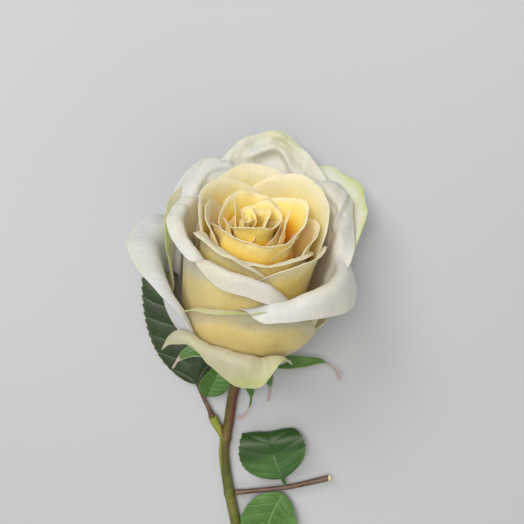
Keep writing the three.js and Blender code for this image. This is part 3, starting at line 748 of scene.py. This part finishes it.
def turned_piece(profile, sides):
    """A closed solid of rings, radius and height in mm, stacked along the bloom's axis"""
    deselect()
    radius, height = profile[0]
    bpy.ops.mesh.primitive_circle_add(
        vertices=sides, radius=radius * MM, fill_type="NGON", location=(0, 0, height * MM))
    bpy.ops.object.mode_set(mode="EDIT")
    bpy.ops.mesh.select_all(action="SELECT")
    for next_radius, next_height in profile[1:]:
        rise = (next_height - height) * MM
        bpy.ops.mesh.extrude_region_move(TRANSFORM_OT_translate={"value": (0, 0, rise)})
        factor = next_radius / radius
        bpy.ops.transform.resize(value=(factor, factor, 1), center_override=(0, 0, next_height * MM))
        radius, height = next_radius, next_height
    bpy.ops.mesh.select_all(action="SELECT")
    bpy.ops.mesh.normals_make_consistent(inside=False)
    bpy.ops.object.mode_set(mode="OBJECT")
    piece = bpy.context.object
    bpy.ops.object.transform_apply(location=True, rotation=True, scale=True)
    return piece


receptacle = turned_piece(RECEPTACLE, 40)
receptacle.data.transform(bloom_pose)
print("receptacle:", len(receptacle.data.vertices), "points")
heart_core = turned_piece(CORE, 24)
heart_core.data.transform(bloom_pose)
print("heart's core:", len(heart_core.data.vertices), "points")

# %% [markdown]
# Receptacle, stem and leaf stalks share one way of colouring: a noise pattern mottles two
# colours, and a bump from small cells stands for the pores. Young rose stems are waxy, so they
# are half glossy. The receptacle is a fresh yellow green.

# %% Green skin of the receptacle
PORE_DEPTH = 0.00012                  # m


def skin_material(name, dark, light, roughness, spot_scale=260.0):
    """A waxy plant skin, mottled between two colours, with fine pores"""
    material, tree, shader = new_material(name, {
        "Roughness": roughness, "Specular IOR Level": 0.4, "Subsurface Weight": 0.08,
        "Subsurface Radius": (0.5, 0.8, 0.25), "Subsurface Scale": 0.001})
    place = add_node(tree, "TexCoord")
    cloud = add_node(tree, "TexNoise", values={"Scale": spot_scale, "Detail": 4.0}, links={
        "Vector": place.outputs["Object"]})
    tone = add_node(tree, "ValToRGB", links={"Fac": cloud.outputs["Fac"]})
    set_ramp(tone, [(0.35, dark), (0.65, light)])
    pores = add_node(tree, "TexVoronoi", values={"Scale": 1400.0}, links={
        "Vector": place.outputs["Object"]})
    bump = add_node(tree, "Bump", values={"Strength": 0.4, "Distance": PORE_DEPTH}, links={
        "Height": pores.outputs["Distance"]})
    tree.links.new(bump.outputs["Normal"], shader.inputs["Normal"])
    tree.links.new(tone.outputs["Color"], shader.inputs["Base Color"])
    return material, tree, shader, tone


hip_skin, _, _, _ = skin_material("waxy_green_hip_skin", "#55702f", "#7c9145", 0.42)
finish_piece(receptacle, "receptacle_urn", "receptacle", [hip_skin])
finish_piece(heart_core, "heart_core", "heart_petals", [hip_skin])
print("receptacle and core in place")

# %% [markdown]
# Leaflets and sepals are blades along a midrib. Each starts as a grid primitive that is laid
# along a smooth curve: its width follows the leaf's outline, its edge is cut into teeth that
# point to the tip, and the blade swells a little between its side veins. keel raises the sides
# above the midrib, or lowers them. A Solidify modifier gives the blade a wall, with the upper
# finish on one face and the lower finish on the other and on the edge.

# %% Blades along a midrib
VEIN_PAIRS = 7
VEIN_SLANT = 1.1                      # how far the side veins run forwards on their way to the edge
TOOTH_HOOK = 0.8                      # how far a tooth leans to the tip, for each mm that it stands out


def through(path, count):
    """Evenly spaced points and directions on a smooth curve through the path's points, in mm"""
    points = [Vector(p) for p in path]
    points = [2 * points[0] - points[1], *points, 2 * points[-1] - points[-2]]
    fine = []
    for k in range(1, len(points) - 2):
        p0, p1, p2, p3 = points[k - 1:k + 3]
        d1, d2, d3 = ((b - a).length ** 0.5 for a, b in ((p0, p1), (p1, p2), (p2, p3)))
        m1 = ((p1 - p0) / d1 - (p2 - p0) / (d1 + d2) + (p2 - p1) / d2) * d2
        m2 = ((p2 - p1) / d2 - (p3 - p1) / (d2 + d3) + (p3 - p2) / d3) * d2
        for t in np.linspace(0, 1, 24, endpoint=k == len(points) - 3):
            h = (2 * t**3 - 3 * t**2 + 1, t**3 - 2 * t**2 + t, -2 * t**3 + 3 * t**2, t**3 - t**2)
            fine.append(p1 * h[0] + m1 * h[1] + p2 * h[2] + m2 * h[3])
    fine = np.array(fine)
    steps = np.linalg.norm(np.diff(fine, axis=0), axis=1)
    place = np.concatenate([[0], np.cumsum(steps)])
    wanted = np.linspace(0, place[-1], count)
    line = np.stack([np.interp(wanted, place, fine[:, k]) for k in range(3)], axis=-1)
    along = np.gradient(line, axis=0)
    return line, along / np.linalg.norm(along, axis=1, keepdims=True), place[-1]


def make_blade(path, up, width, rows, columns, thickness, teeth=0, tooth_count=0, keel=0, swell=0,
               side=None):
    """width gives the breadth in mm along the midrib, up is the way that the upper face looks.
    A blade that folds over takes side, the way that its right half points, instead of up."""
    piece, column, row = start_grid(columns, rows)
    mesh = piece.data
    q = np.linspace(-1, 1, columns + 1)[None, :, None]
    t = np.linspace(0, 1, rows + 1)[:, None, None]
    line, along, reach = through([Vector(p) + CENTRE for p in path], rows + 1)
    face = np.array(up, float) + np.zeros_like(along)
    across = np.cross(along, face)
    if side:
        right = np.array(side, float)
        across = right - along * (along @ right)[:, None]
    across /= np.linalg.norm(across, axis=1, keepdims=True)
    face = np.cross(across, along)
    line, along, across, face = (a[:, None, :] for a in (line, along, across, face))
    half = width(t) / 2
    # teeth: a saw along the edge, none at the foot and the tip
    beat = (t * (tooth_count + 0.5)) % 1
    saw = np.where((t > 0.02) & (t < 0.98), beat * (1 - smooth((beat - 0.75) / 0.25)), 0)
    tooth = teeth * 1.35 * saw * np.abs(q) ** 9
    # pillows between the side veins
    side_vein = (t * VEIN_PAIRS - VEIN_SLANT * np.abs(q)) % 1
    pillow = np.sin(np.pi * side_vein) ** 0.7 * np.sin(np.pi * np.clip(np.abs(q), 0, 1)) ** 0.8
    points = (line + across * np.sign(q) * (np.abs(q) * half + tooth) + along * tooth * TOOTH_HOOK
              + face * (keel * np.abs(q) * half + swell * pillow))
    mesh.vertices.foreach_set("co", (points[row, column] * MM).ravel())
    lay_uv(mesh, q[0, column, 0], t[row, 0, 0])
    solidify = piece.modifiers.new("wall", "SOLIDIFY")
    solidify.thickness = thickness * MM
    solidify.offset = 0
    solidify.material_offset = 1
    solidify.material_offset_rim = 1
    bpy.ops.object.modifier_apply(modifier=solidify.name)
    press_on_table(piece)
    return piece, reach


_, _, reach = through([(0, 0, 0), (0, 10, 2), (0, 20, 0)], 20)
print("a flat arch of 20 mm is", round(reach, 1), "mm long")

# %% [markdown]
# A rose leaflet is satin green above, with a sunken midrib and five to nine pairs of paler side
# veins that run forwards to the teeth. Underneath it is dull and greyer. The vein pattern is
# drawn in the blade's own UV map, across and along, so it follows every bend of the leaf. Two
# upper sides are darker with painted shade: one much, because that leaflet lies in the bloom's
# shadow, and one less, where the bloom's shadow reaches it. That one also turns a darker green
# beyond the place where the leaflet bends over.

# %% Leaf finish
def leaf_material(name, dark, light, vein, roughness, vein_pairs=VEIN_PAIRS, edge="#5f7f40",
                  beyond=None):
    """The veined skin of a blade; beyond gives a place along it and the colour that follows there"""
    material, tree, shader = new_material(name, {
        "Roughness": roughness, "Specular IOR Level": 0.45, "Subsurface Weight": 0.1,
        "Subsurface Radius": (0.4, 0.9, 0.2), "Subsurface Scale": 0.001})
    place = add_node(tree, "TexCoord")
    cloud = add_node(tree, "TexNoise", values={"Scale": 90.0, "Detail": 4.0}, links={
        "Vector": place.outputs["Object"]})
    tone = add_node(tree, "ValToRGB", links={"Fac": cloud.outputs["Fac"]})
    set_ramp(tone, [(0.3, dark), (0.7, light)])
    blade = add_node(tree, "SeparateXYZ", links={"Vector": place.outputs["UV"]})
    off_midrib = add_node(tree, "Math", {"operation": "ABSOLUTE"}, links={0: blade.outputs["X"]})
    lag = add_node(tree, "Math", {"operation": "MULTIPLY"}, {1: -VEIN_SLANT}, {
        0: off_midrib.outputs["Value"]})
    order = add_node(tree, "Math", {"operation": "MULTIPLY_ADD"}, {1: vein_pairs}, {
        0: blade.outputs["Y"], 2: lag.outputs["Value"]})
    beat = add_node(tree, "Math", {"operation": "PINGPONG"}, {1: 0.5}, {0: order.outputs["Value"]})
    net = add_node(tree, "TexVoronoi", {"feature": "DISTANCE_TO_EDGE"}, {"Scale": 700.0}, {
        "Vector": place.outputs["Object"]})
    lines = []
    for distance, start, end, strength in (
            (beat.outputs["Value"], 0.01, 0.06, 0.5),            # the side veins
            (off_midrib.outputs["Value"], 0.015, 0.05, 0.85),    # the midrib
            (net.outputs["Distance"], 0.0, 0.12, 0.22)):         # the net between them
        line = add_node(tree, "MapRange", {"clamp": True}, {
            "From Min": start, "From Max": end, "To Min": strength, "To Max": 0.0}, {
            "Value": distance})
        lines.append(line.outputs["Result"])
    ribs = add_node(tree, "Math", {"operation": "MAXIMUM"}, links={0: lines[0], 1: lines[1]})
    pale = add_node(tree, "Math", {"operation": "MAXIMUM"}, links={
        0: ribs.outputs["Value"], 1: lines[2]})
    veined = add_node(tree, "Mix", {"data_type": "RGBA"}, {7: linear(vein)}, {
        0: pale.outputs["Value"], 6: tone.outputs["Color"]})
    rim = add_node(tree, "MapRange", {"clamp": True}, {
        "From Min": 0.93, "From Max": 1.0, "To Min": 0.0, "To Max": 0.8}, {
        "Value": off_midrib.outputs["Value"]})
    edged = add_node(tree, "Mix", {"data_type": "RGBA"}, {7: linear(edge)}, {
        0: rim.outputs["Result"], 6: veined.outputs[2]})
    finish = edged.outputs[2]
    if beyond:
        start, colour = beyond
        past = add_node(tree, "MapRange", {"clamp": True}, {
            "From Min": start - 0.03, "From Max": start + 0.05, "To Min": 0.0, "To Max": 1.0}, {
            "Value": blade.outputs["Y"]})
        changed = add_node(tree, "Mix", {"data_type": "RGBA"}, {7: linear(colour)}, {
            0: past.outputs["Result"], 6: finish})
        finish = changed.outputs[2]
    tree.links.new(finish, shader.inputs["Base Color"])
    depth = add_node(tree, "Math", {"operation": "SUBTRACT"}, {0: 1.0}, {1: pale.outputs["Value"]})
    bump = add_node(tree, "Bump", values={"Strength": 0.5, "Distance": 0.0003}, links={
        "Height": depth.outputs["Value"]})
    tree.links.new(bump.outputs["Normal"], shader.inputs["Normal"])
    return material


leaf_top = leaf_material("satin_leaf_upper_side", "#375a1f", "#548038", "#769a54", 0.36)
# a darker copy of the upper finish, painted shade for the leaflet that lies partly in the bloom's shadow;
# it turns a darker green past its bend
leaf_bent_painted_shade = leaf_material(
    "satin_leaf_bent_over_painted_shade", "#2c4d1c", "#426b2c", "#628550", 0.44, beyond=(0.42, "#24470f"))
leaf_dark = leaf_material(
    "shaded_leaf_upper_side", "#1d2d0f", "#2c3f1a", "#374a25", 0.42, edge="#46562f")
leaf_under = leaf_material("dull_leaf_underside", "#5d7648", "#748c5c", "#93a67a", 0.62)
print("leaf finishes: 4")

# %% [markdown]
# The four leaflets follow the same midribs and outlines as their plain solids: one long dark
# leaflet behind the bloom, a small bright one near the side shoot, and a pair on the cut leaf
# stalk, of which the upper one bends over at its tip and has a short stalk of its own. Each has
# its breadth in mm, the share of its length that is stalk, depth and number of its teeth, keel,
# up and side, its upper finish, the rows of its grid and its midrib in mm.

# %% Leaflets
LEAF_WALL = 0.6                       # mm
LEAF_SWELL = 0.35                     # mm
LEAF_STALK_WIDTH = 1.1                # mm
LEAFLETS = [
    ("leaflet_left_large", 28, 0, 0.6, 17, -0.06, (0, 0, 1), None, leaf_dark, 150,
     [(-19.75, 10.85, 3.9), (-24, 26, 3.6), (-29, 42, 3.2), (-35, 57, 2.3), (-41, 71, 0.35)]),
    ("leaflet_left_small", 13, 0, 0.5, 10, 0.2, (0.2, -0.3, 0.9), None, leaf_top, 100,
     [(-15.4, 5.2, 4.8), (-13.2, 10, 6.2), (-11, 15, 6.6), (-9.6, 20.5, 5.6)]),
    ("leaflet_right_upper", 30, 0.09, 0.6, 16, 0.04, (0.2, 0, 1), (1, 0.12, 0), leaf_bent_painted_shade, 150,
     [(20.4, -37.6, 5.6), (17.5, -30, 7.4), (14.8, -21.5, 8.8), (13.4, -15.2, 8.1), (13, -12.6, 4.8),
      (13.8, -14.9, 1), (15.8, -21, 0.4)]),
    ("leaflet_right_lower", 26, 0, 0.6, 16, 0.1, (0, 0, 1), None, leaf_top, 150,
     [(19.2, -42.6, 5.3), (15.1, -50.6, 6.4), (12.2, -60, 5), (11.4, -70, 2.1), (11.6, -76, 0.3)]),
]


def leaf_width(t, breadth, stalk):
    """A bare stalk, and then the egg shape of the blade, broadest below its middle"""
    blade = ((t - stalk) / (1 - stalk)).clip(0)
    return np.maximum(breadth * np.sin(np.pi * blade ** 0.8).clip(0) ** 0.75, LEAF_STALK_WIDTH)


for name, breadth, stalk, teeth, count, keel, up, side, top, rows, path in LEAFLETS:
    leaf, reach = make_blade(
        path, up, lambda t: leaf_width(t, breadth, stalk), rows, 36, LEAF_WALL, teeth, count, keel,
        LEAF_SWELL, side)
    finish_piece(leaf, name + "_blade", name, [top, leaf_under])
    print(name, "is", round(reach), "mm long with", len(leaf.data.polygons), "faces")

# %% [markdown]
# Sepals are the five green leaves that once closed the bud. They are narrow, with a pale downy
# edge, and run out into a thin, pinkish tail. Two show beside the bloom, of which one curls down
# like a hook. Each has its breadth in mm, the share of its length where the tail starts, up and
# its midrib in mm.

# %% Sepals
TAIL_COLOUR_FROM = 0.72               # share of the length
sepal_top = leaf_material(
    "sepal_outer_side", "#3f6129", "#5a803c", "#7a9a58", 0.5, vein_pairs=0, edge="#b3c095",
    beyond=(TAIL_COLOUR_FROM, "#b9a8a0"))
sepal_down = leaf_material(
    "downy_sepal_inner_side", "#8b9a72", "#a5b08c", "#b5bd9c", 0.8, vein_pairs=0, edge="#c2c8ad",
    beyond=(TAIL_COLOUR_FROM, "#c4b3ab"))
SEPAL_WALL = 0.7                      # mm
TAIL_WIDTH = 0.9                      # mm
SEPALS = [
    (9, 0.74, (0.1, 0.6, 0.8), [(9.4, 28, 13.2), (18, 24.8, 14.2), (28, 24.2, 13), (36, 24, 11.5),
                                (42, 20.5, 10), (45, 14.8, 9)]),
    (7, 0.6, (0, 0.45, -0.9), [(0.9, 23.6, 22.1), (2.6, 18.2, 19.2), (4.3, 12.6, 14.8), (4.8, 8, 11.2),
                               (4.2, 2.5, 9), (1.5, -3.2, 8), (-2.2, -4.6, 7.6)]),
    (8, 0.85, (0, 0.6, 0.8), [(-9.6, 29, 14), (-15.5, 30.5, 16), (-21.8, 30.1, 16.6), (-27, 26, 15),
                              (-29.8, 21.4, 13)]),
    (8, 0.8, (0.2, 0.3, 0.9), [(7.1, 30, 5.4), (9.5, 24.6, 4.1), (12, 16.5, 3.2), (13.2, 9, 2.4),
                               (13, 4, 1), (12.5, 1, 0.4)]),
    (6, 0.85, (0, 0.3, 0.9), [(-6, 31, 5.6), (-6.9, 26, 3.6), (-7.4, 20, 2), (-7.4, 13, 0.9),
                              (-7, 8, 0.38)]),
]


def sepal_width(t, breadth, share):
    """A narrow leaf that ends at its share of the length, and then the thin tail"""
    return np.maximum(breadth * (0.75 + t / share) * (1 - t / share).clip(0) ** 0.85, TAIL_WIDTH)


for k, (breadth, share, up, path) in enumerate(SEPALS):
    sepal, reach = make_blade(
        path, up, lambda t: sepal_width(t, breadth, share), 60, 12, SEPAL_WALL, keel=0.12)
    finish_piece(sepal, f"sepal_{k + 1}_blade", f"sepal_{k + 1}", [sepal_top, sepal_down])
    print("sepal", k + 1, "is", round(reach), "mm long")

# %% [markdown]
# The stem is round and slightly zigzag, thicker at each node. A bevelled curve is the quickest
# way to such a shape: it runs through the same points as the plain solid, its radius is set point
# by point, and it is then turned into a mesh. The cut side shoot is a second curve.

# %% Stem
STEM_RADIUS = 2.35                    # mm
STEM_NODES = (0.24, 0.43, 0.72)       # shares of the stem's length
STEM_PATH = [(-0.74, 17.95, 8.1), (-2.2, 11.2, 5.3), (-4, 3.5, 3.7), (-5.5, -7.3, 3), (-8, -22.1, 2.8),
             (-7.2, -33, 2.7), (-5.4, -45, 2.7), (-2.7, -60, 2.6), (0.5, -80, 2.6), (2.4, -103, 2.6),
             (2, -127.5, 2.6)]
SHOOT_PATH = [(-7, -17, 2.9), (-9.6, -12, 3.6), (-11.8, -8, 4.1), (-13, -5, 4.3)]


def make_stalk(path, radius, segments, sides):
    """A closed round stalk along the path; radius gives mm along its way"""
    line, _, reach = through([Vector(p) + CENTRE for p in path], segments + 1)
    curve = bpy.data.curves.new("stalk", "CURVE")
    curve.dimensions = "3D"
    curve.bevel_depth = MM
    curve.bevel_resolution = sides // 4
    curve.use_fill_caps = True
    spline = curve.splines.new("POLY")
    spline.points.add(segments)
    for k, (point, place) in enumerate(zip(spline.points, line)):
        point.co = (*(place * MM), 1)
        point.radius = float(radius(k / segments))
    piece = bpy.data.objects.new("stalk", curve)
    bpy.context.scene.collection.objects.link(piece)
    select_only(piece)
    bpy.ops.object.convert(target="MESH")
    piece = bpy.context.object
    bpy.ops.object.mode_set(mode="EDIT")
    bpy.ops.mesh.select_all(action="SELECT")
    bpy.ops.mesh.remove_doubles(threshold=1e-6)
    bpy.ops.mesh.normals_make_consistent(inside=False)
    bpy.ops.object.mode_set(mode="OBJECT")
    return piece, reach


def stem_radius(t):
    """It widens towards the root, at the receptacle and at each node"""
    knots = sum(0.35 * bump_at(t, knot, 0.012) for knot in STEM_NODES)
    return STEM_RADIUS + 0.25 * t + 0.5 * bump_at(t, 0, 0.03) + knots


stem, reach = make_stalk(STEM_PATH, stem_radius, 180, 24)
shoot, _ = make_stalk(SHOOT_PATH, lambda t: mix(2, 1.9, t) + 0.25 * t**6, 30, 20)
print("stem is", round(reach), "mm long")

# %% [markdown]
# Prickles are outgrowths of the stem's skin: a broad flat foot and a sharp tip that hooks back
# towards the root. Each starts as a cone, whose tip ring is pulled back, and is joined to the
# stem with a Boolean, so that stem, shoot and prickles are one skin.

# %% Prickles
PRICKLES = [((1, -86, 2.6), 0.9), ((2.3, -108, 2.6), -0.8)]    # place in mm, turn about the stem
PRICKLE_HEIGHT = 5 * MM


def make_prickle(place, turn):
    """A cone, bent back, leaned over, flattened and turned to its side of the stem"""
    deselect()
    bpy.ops.mesh.primitive_cone_add(
        vertices=16, radius1=1.3 * MM, radius2=0.06 * MM, depth=PRICKLE_HEIGHT)
    piece = bpy.context.object
    bpy.ops.object.mode_set(mode="EDIT")
    bpy.ops.mesh.select_all(action="SELECT")
    bpy.ops.mesh.subdivide(number_cuts=3)
    bpy.ops.object.mode_set(mode="OBJECT")
    for vertex in piece.data.vertices:
        rise = vertex.co.z / PRICKLE_HEIGHT + 0.5
        vertex.co.y -= MM * rise**2
        vertex.co.z = max(vertex.co.z, -2.4 * MM)
    narrow = Matrix.Rotation(0.5, 4, "X") @ Matrix.Scale(0.6, 4, (1, 0, 0))
    outside = Matrix.Rotation(turn, 4, "Y") @ Matrix.Translation((0, 0, 3.2 * MM))
    piece.data.transform(Matrix.Translation((Vector(place) + CENTRE) * MM) @ outside @ narrow)
    return piece


def join_skin(body, growth):
    """Joins a growth to the body's skin and removes it as an object"""
    select_only(body)
    union = body.modifiers.new("join", "BOOLEAN")
    union.operation = "UNION"
    union.solver = "EXACT"
    union.object = growth
    bpy.ops.object.modifier_apply(modifier=union.name)
    bpy.data.objects.remove(growth)


join_skin(stem, shoot)
for place, turn in PRICKLES:
    join_skin(stem, make_prickle(place, turn))
press_on_table(stem)
print("stem with shoot and prickles:", len(stem.data.polygons), "faces")

# %% [markdown]
# The stem's colour changes along its way: red brown below the bloom, where the sun has tanned it,
# most of all on its right side, and olive green lower down. The side shoot is a fresher green,
# and the cut end shows pale pith. The gradient runs on the Y coordinate, because the stem lies
# along Y, with a noise that stretches the same way as the fibres.

# %% Stem finish
STEM_CUT = -0.1265                    # m
stem_skin, tree, shader, tone = skin_material("waxy_stem_skin", "#4d5220", "#737433", 0.4, 120.0)
place = add_node(tree, "TexCoord")
spot = add_node(tree, "SeparateXYZ", links={"Vector": place.outputs["Object"]})
fibre_map = add_node(tree, "Mapping", values={"Scale": (900.0, 60.0, 900.0)}, links={
    "Vector": place.outputs["Object"]})
fibre = add_node(tree, "TexNoise", values={"Scale": 1.0, "Detail": 3.0}, links={
    "Vector": fibre_map.outputs["Vector"]})
wander = add_node(tree, "Math", {"operation": "MULTIPLY_ADD"}, {1: 0.03, 2: -0.015}, {
    0: fibre.outputs["Fac"]})
height = add_node(tree, "Math", {"operation": "ADD"}, links={
    0: spot.outputs["Y"], 1: wander.outputs["Value"]})
tan = add_node(tree, "MapRange", {"clamp": True}, {
    "From Min": -0.03, "From Max": -0.004, "To Min": 0.0, "To Max": 0.92}, {
    "Value": height.outputs["Value"]})
shoot_side = add_node(tree, "MapRange", {"clamp": True}, {
    "From Min": -0.0135, "From Max": -0.0125, "To Min": 1.0, "To Max": 0.0}, {
    "Value": spot.outputs["X"]})
sunny_side = add_node(tree, "SeparateXYZ", links={"Vector": place.outputs["Normal"]})
tanned = add_node(tree, "MapRange", {"clamp": True}, {
    "From Min": -0.5, "From Max": 0.3, "To Min": 0.4, "To Max": 1.0}, {
    "Value": sunny_side.outputs["X"]})
tan_amount = add_node(tree, "Math", {"operation": "MULTIPLY"}, links={
    0: tan.outputs["Result"], 1: tanned.outputs["Result"]})
brown = add_node(tree, "Mix", {"data_type": "RGBA"}, {7: linear("#643a2c")}, {
    0: tan_amount.outputs["Value"], 6: tone.outputs["Color"]})
with_shoot = add_node(tree, "Mix", {"data_type": "RGBA"}, {7: linear("#8a8f3c")}, {
    0: shoot_side.outputs["Result"], 6: brown.outputs[2]})
end = add_node(tree, "MapRange", {"clamp": True}, {
    "From Min": STEM_CUT - 0.0001, "From Max": STEM_CUT + 0.0001, "To Min": 1.0, "To Max": 0.0}, {
    "Value": spot.outputs["Y"]})
cut = add_node(tree, "Mix", {"data_type": "RGBA"}, {7: linear("#b9b58a")}, {
    0: end.outputs["Result"], 6: with_shoot.outputs[2]})
tree.links.new(cut.outputs[2], shader.inputs["Base Color"])
finish_piece(stem, "stem_skin", "stem", [stem_skin], angle=50)
print("stem skin has", len(tree.nodes), "nodes")

# %% [markdown]
# Leaf stalks are thin and reddish, and widen where they join the stem. The right one was cut
# short, so its end shows a pale disc.

# %% Leaf stalks
STALK_CUT = 0.0366                    # m
LEAF_STALKS = [
    ("leaf_stalk_left", [(-13.4, -4.5, 4.3), (-14.8, -1, 4.3), (-17, 3.9, 4), (-19.6, 10.4, 3.9)],
     lambda t: 0.95 + 0.7 * (1 - t) ** 10),
    ("leaf_stalk_right", [(-2.6, -43.2, 3.4), (8, -41.5, 4.6), (20.9, -39.7, 5.2), (31, -37.2, 5.7),
                          (41.7, -34.2, 6.2)], lambda t: 1.05 + 0.45 * t**2 + 0.4 * (1 - t) ** 10),
]
stalk_skin, tree, shader, tone = skin_material("waxy_leaf_stalk_skin", "#4f392c", "#735a47", 0.45, 200.0)
place = add_node(tree, "TexCoord")
spot = add_node(tree, "SeparateXYZ", links={"Vector": place.outputs["Object"]})
end = add_node(tree, "MapRange", {"clamp": True}, {
    "From Min": STALK_CUT - 0.0002, "From Max": STALK_CUT + 0.0002, "To Min": 0.0, "To Max": 1.0}, {
    "Value": spot.outputs["X"]})
cut = add_node(tree, "Mix", {"data_type": "RGBA"}, {7: linear("#cbc29c")}, {
    0: end.outputs["Result"], 6: tone.outputs["Color"]})
tree.links.new(cut.outputs[2], shader.inputs["Base Color"])
for name, path, radius in LEAF_STALKS:
    stalk, reach = make_stalk(path, radius, 50, 16)
    finish_piece(stalk, name + "_skin", name, [stalk_skin], angle=50)
    print(name, "is", round(reach), "mm long")
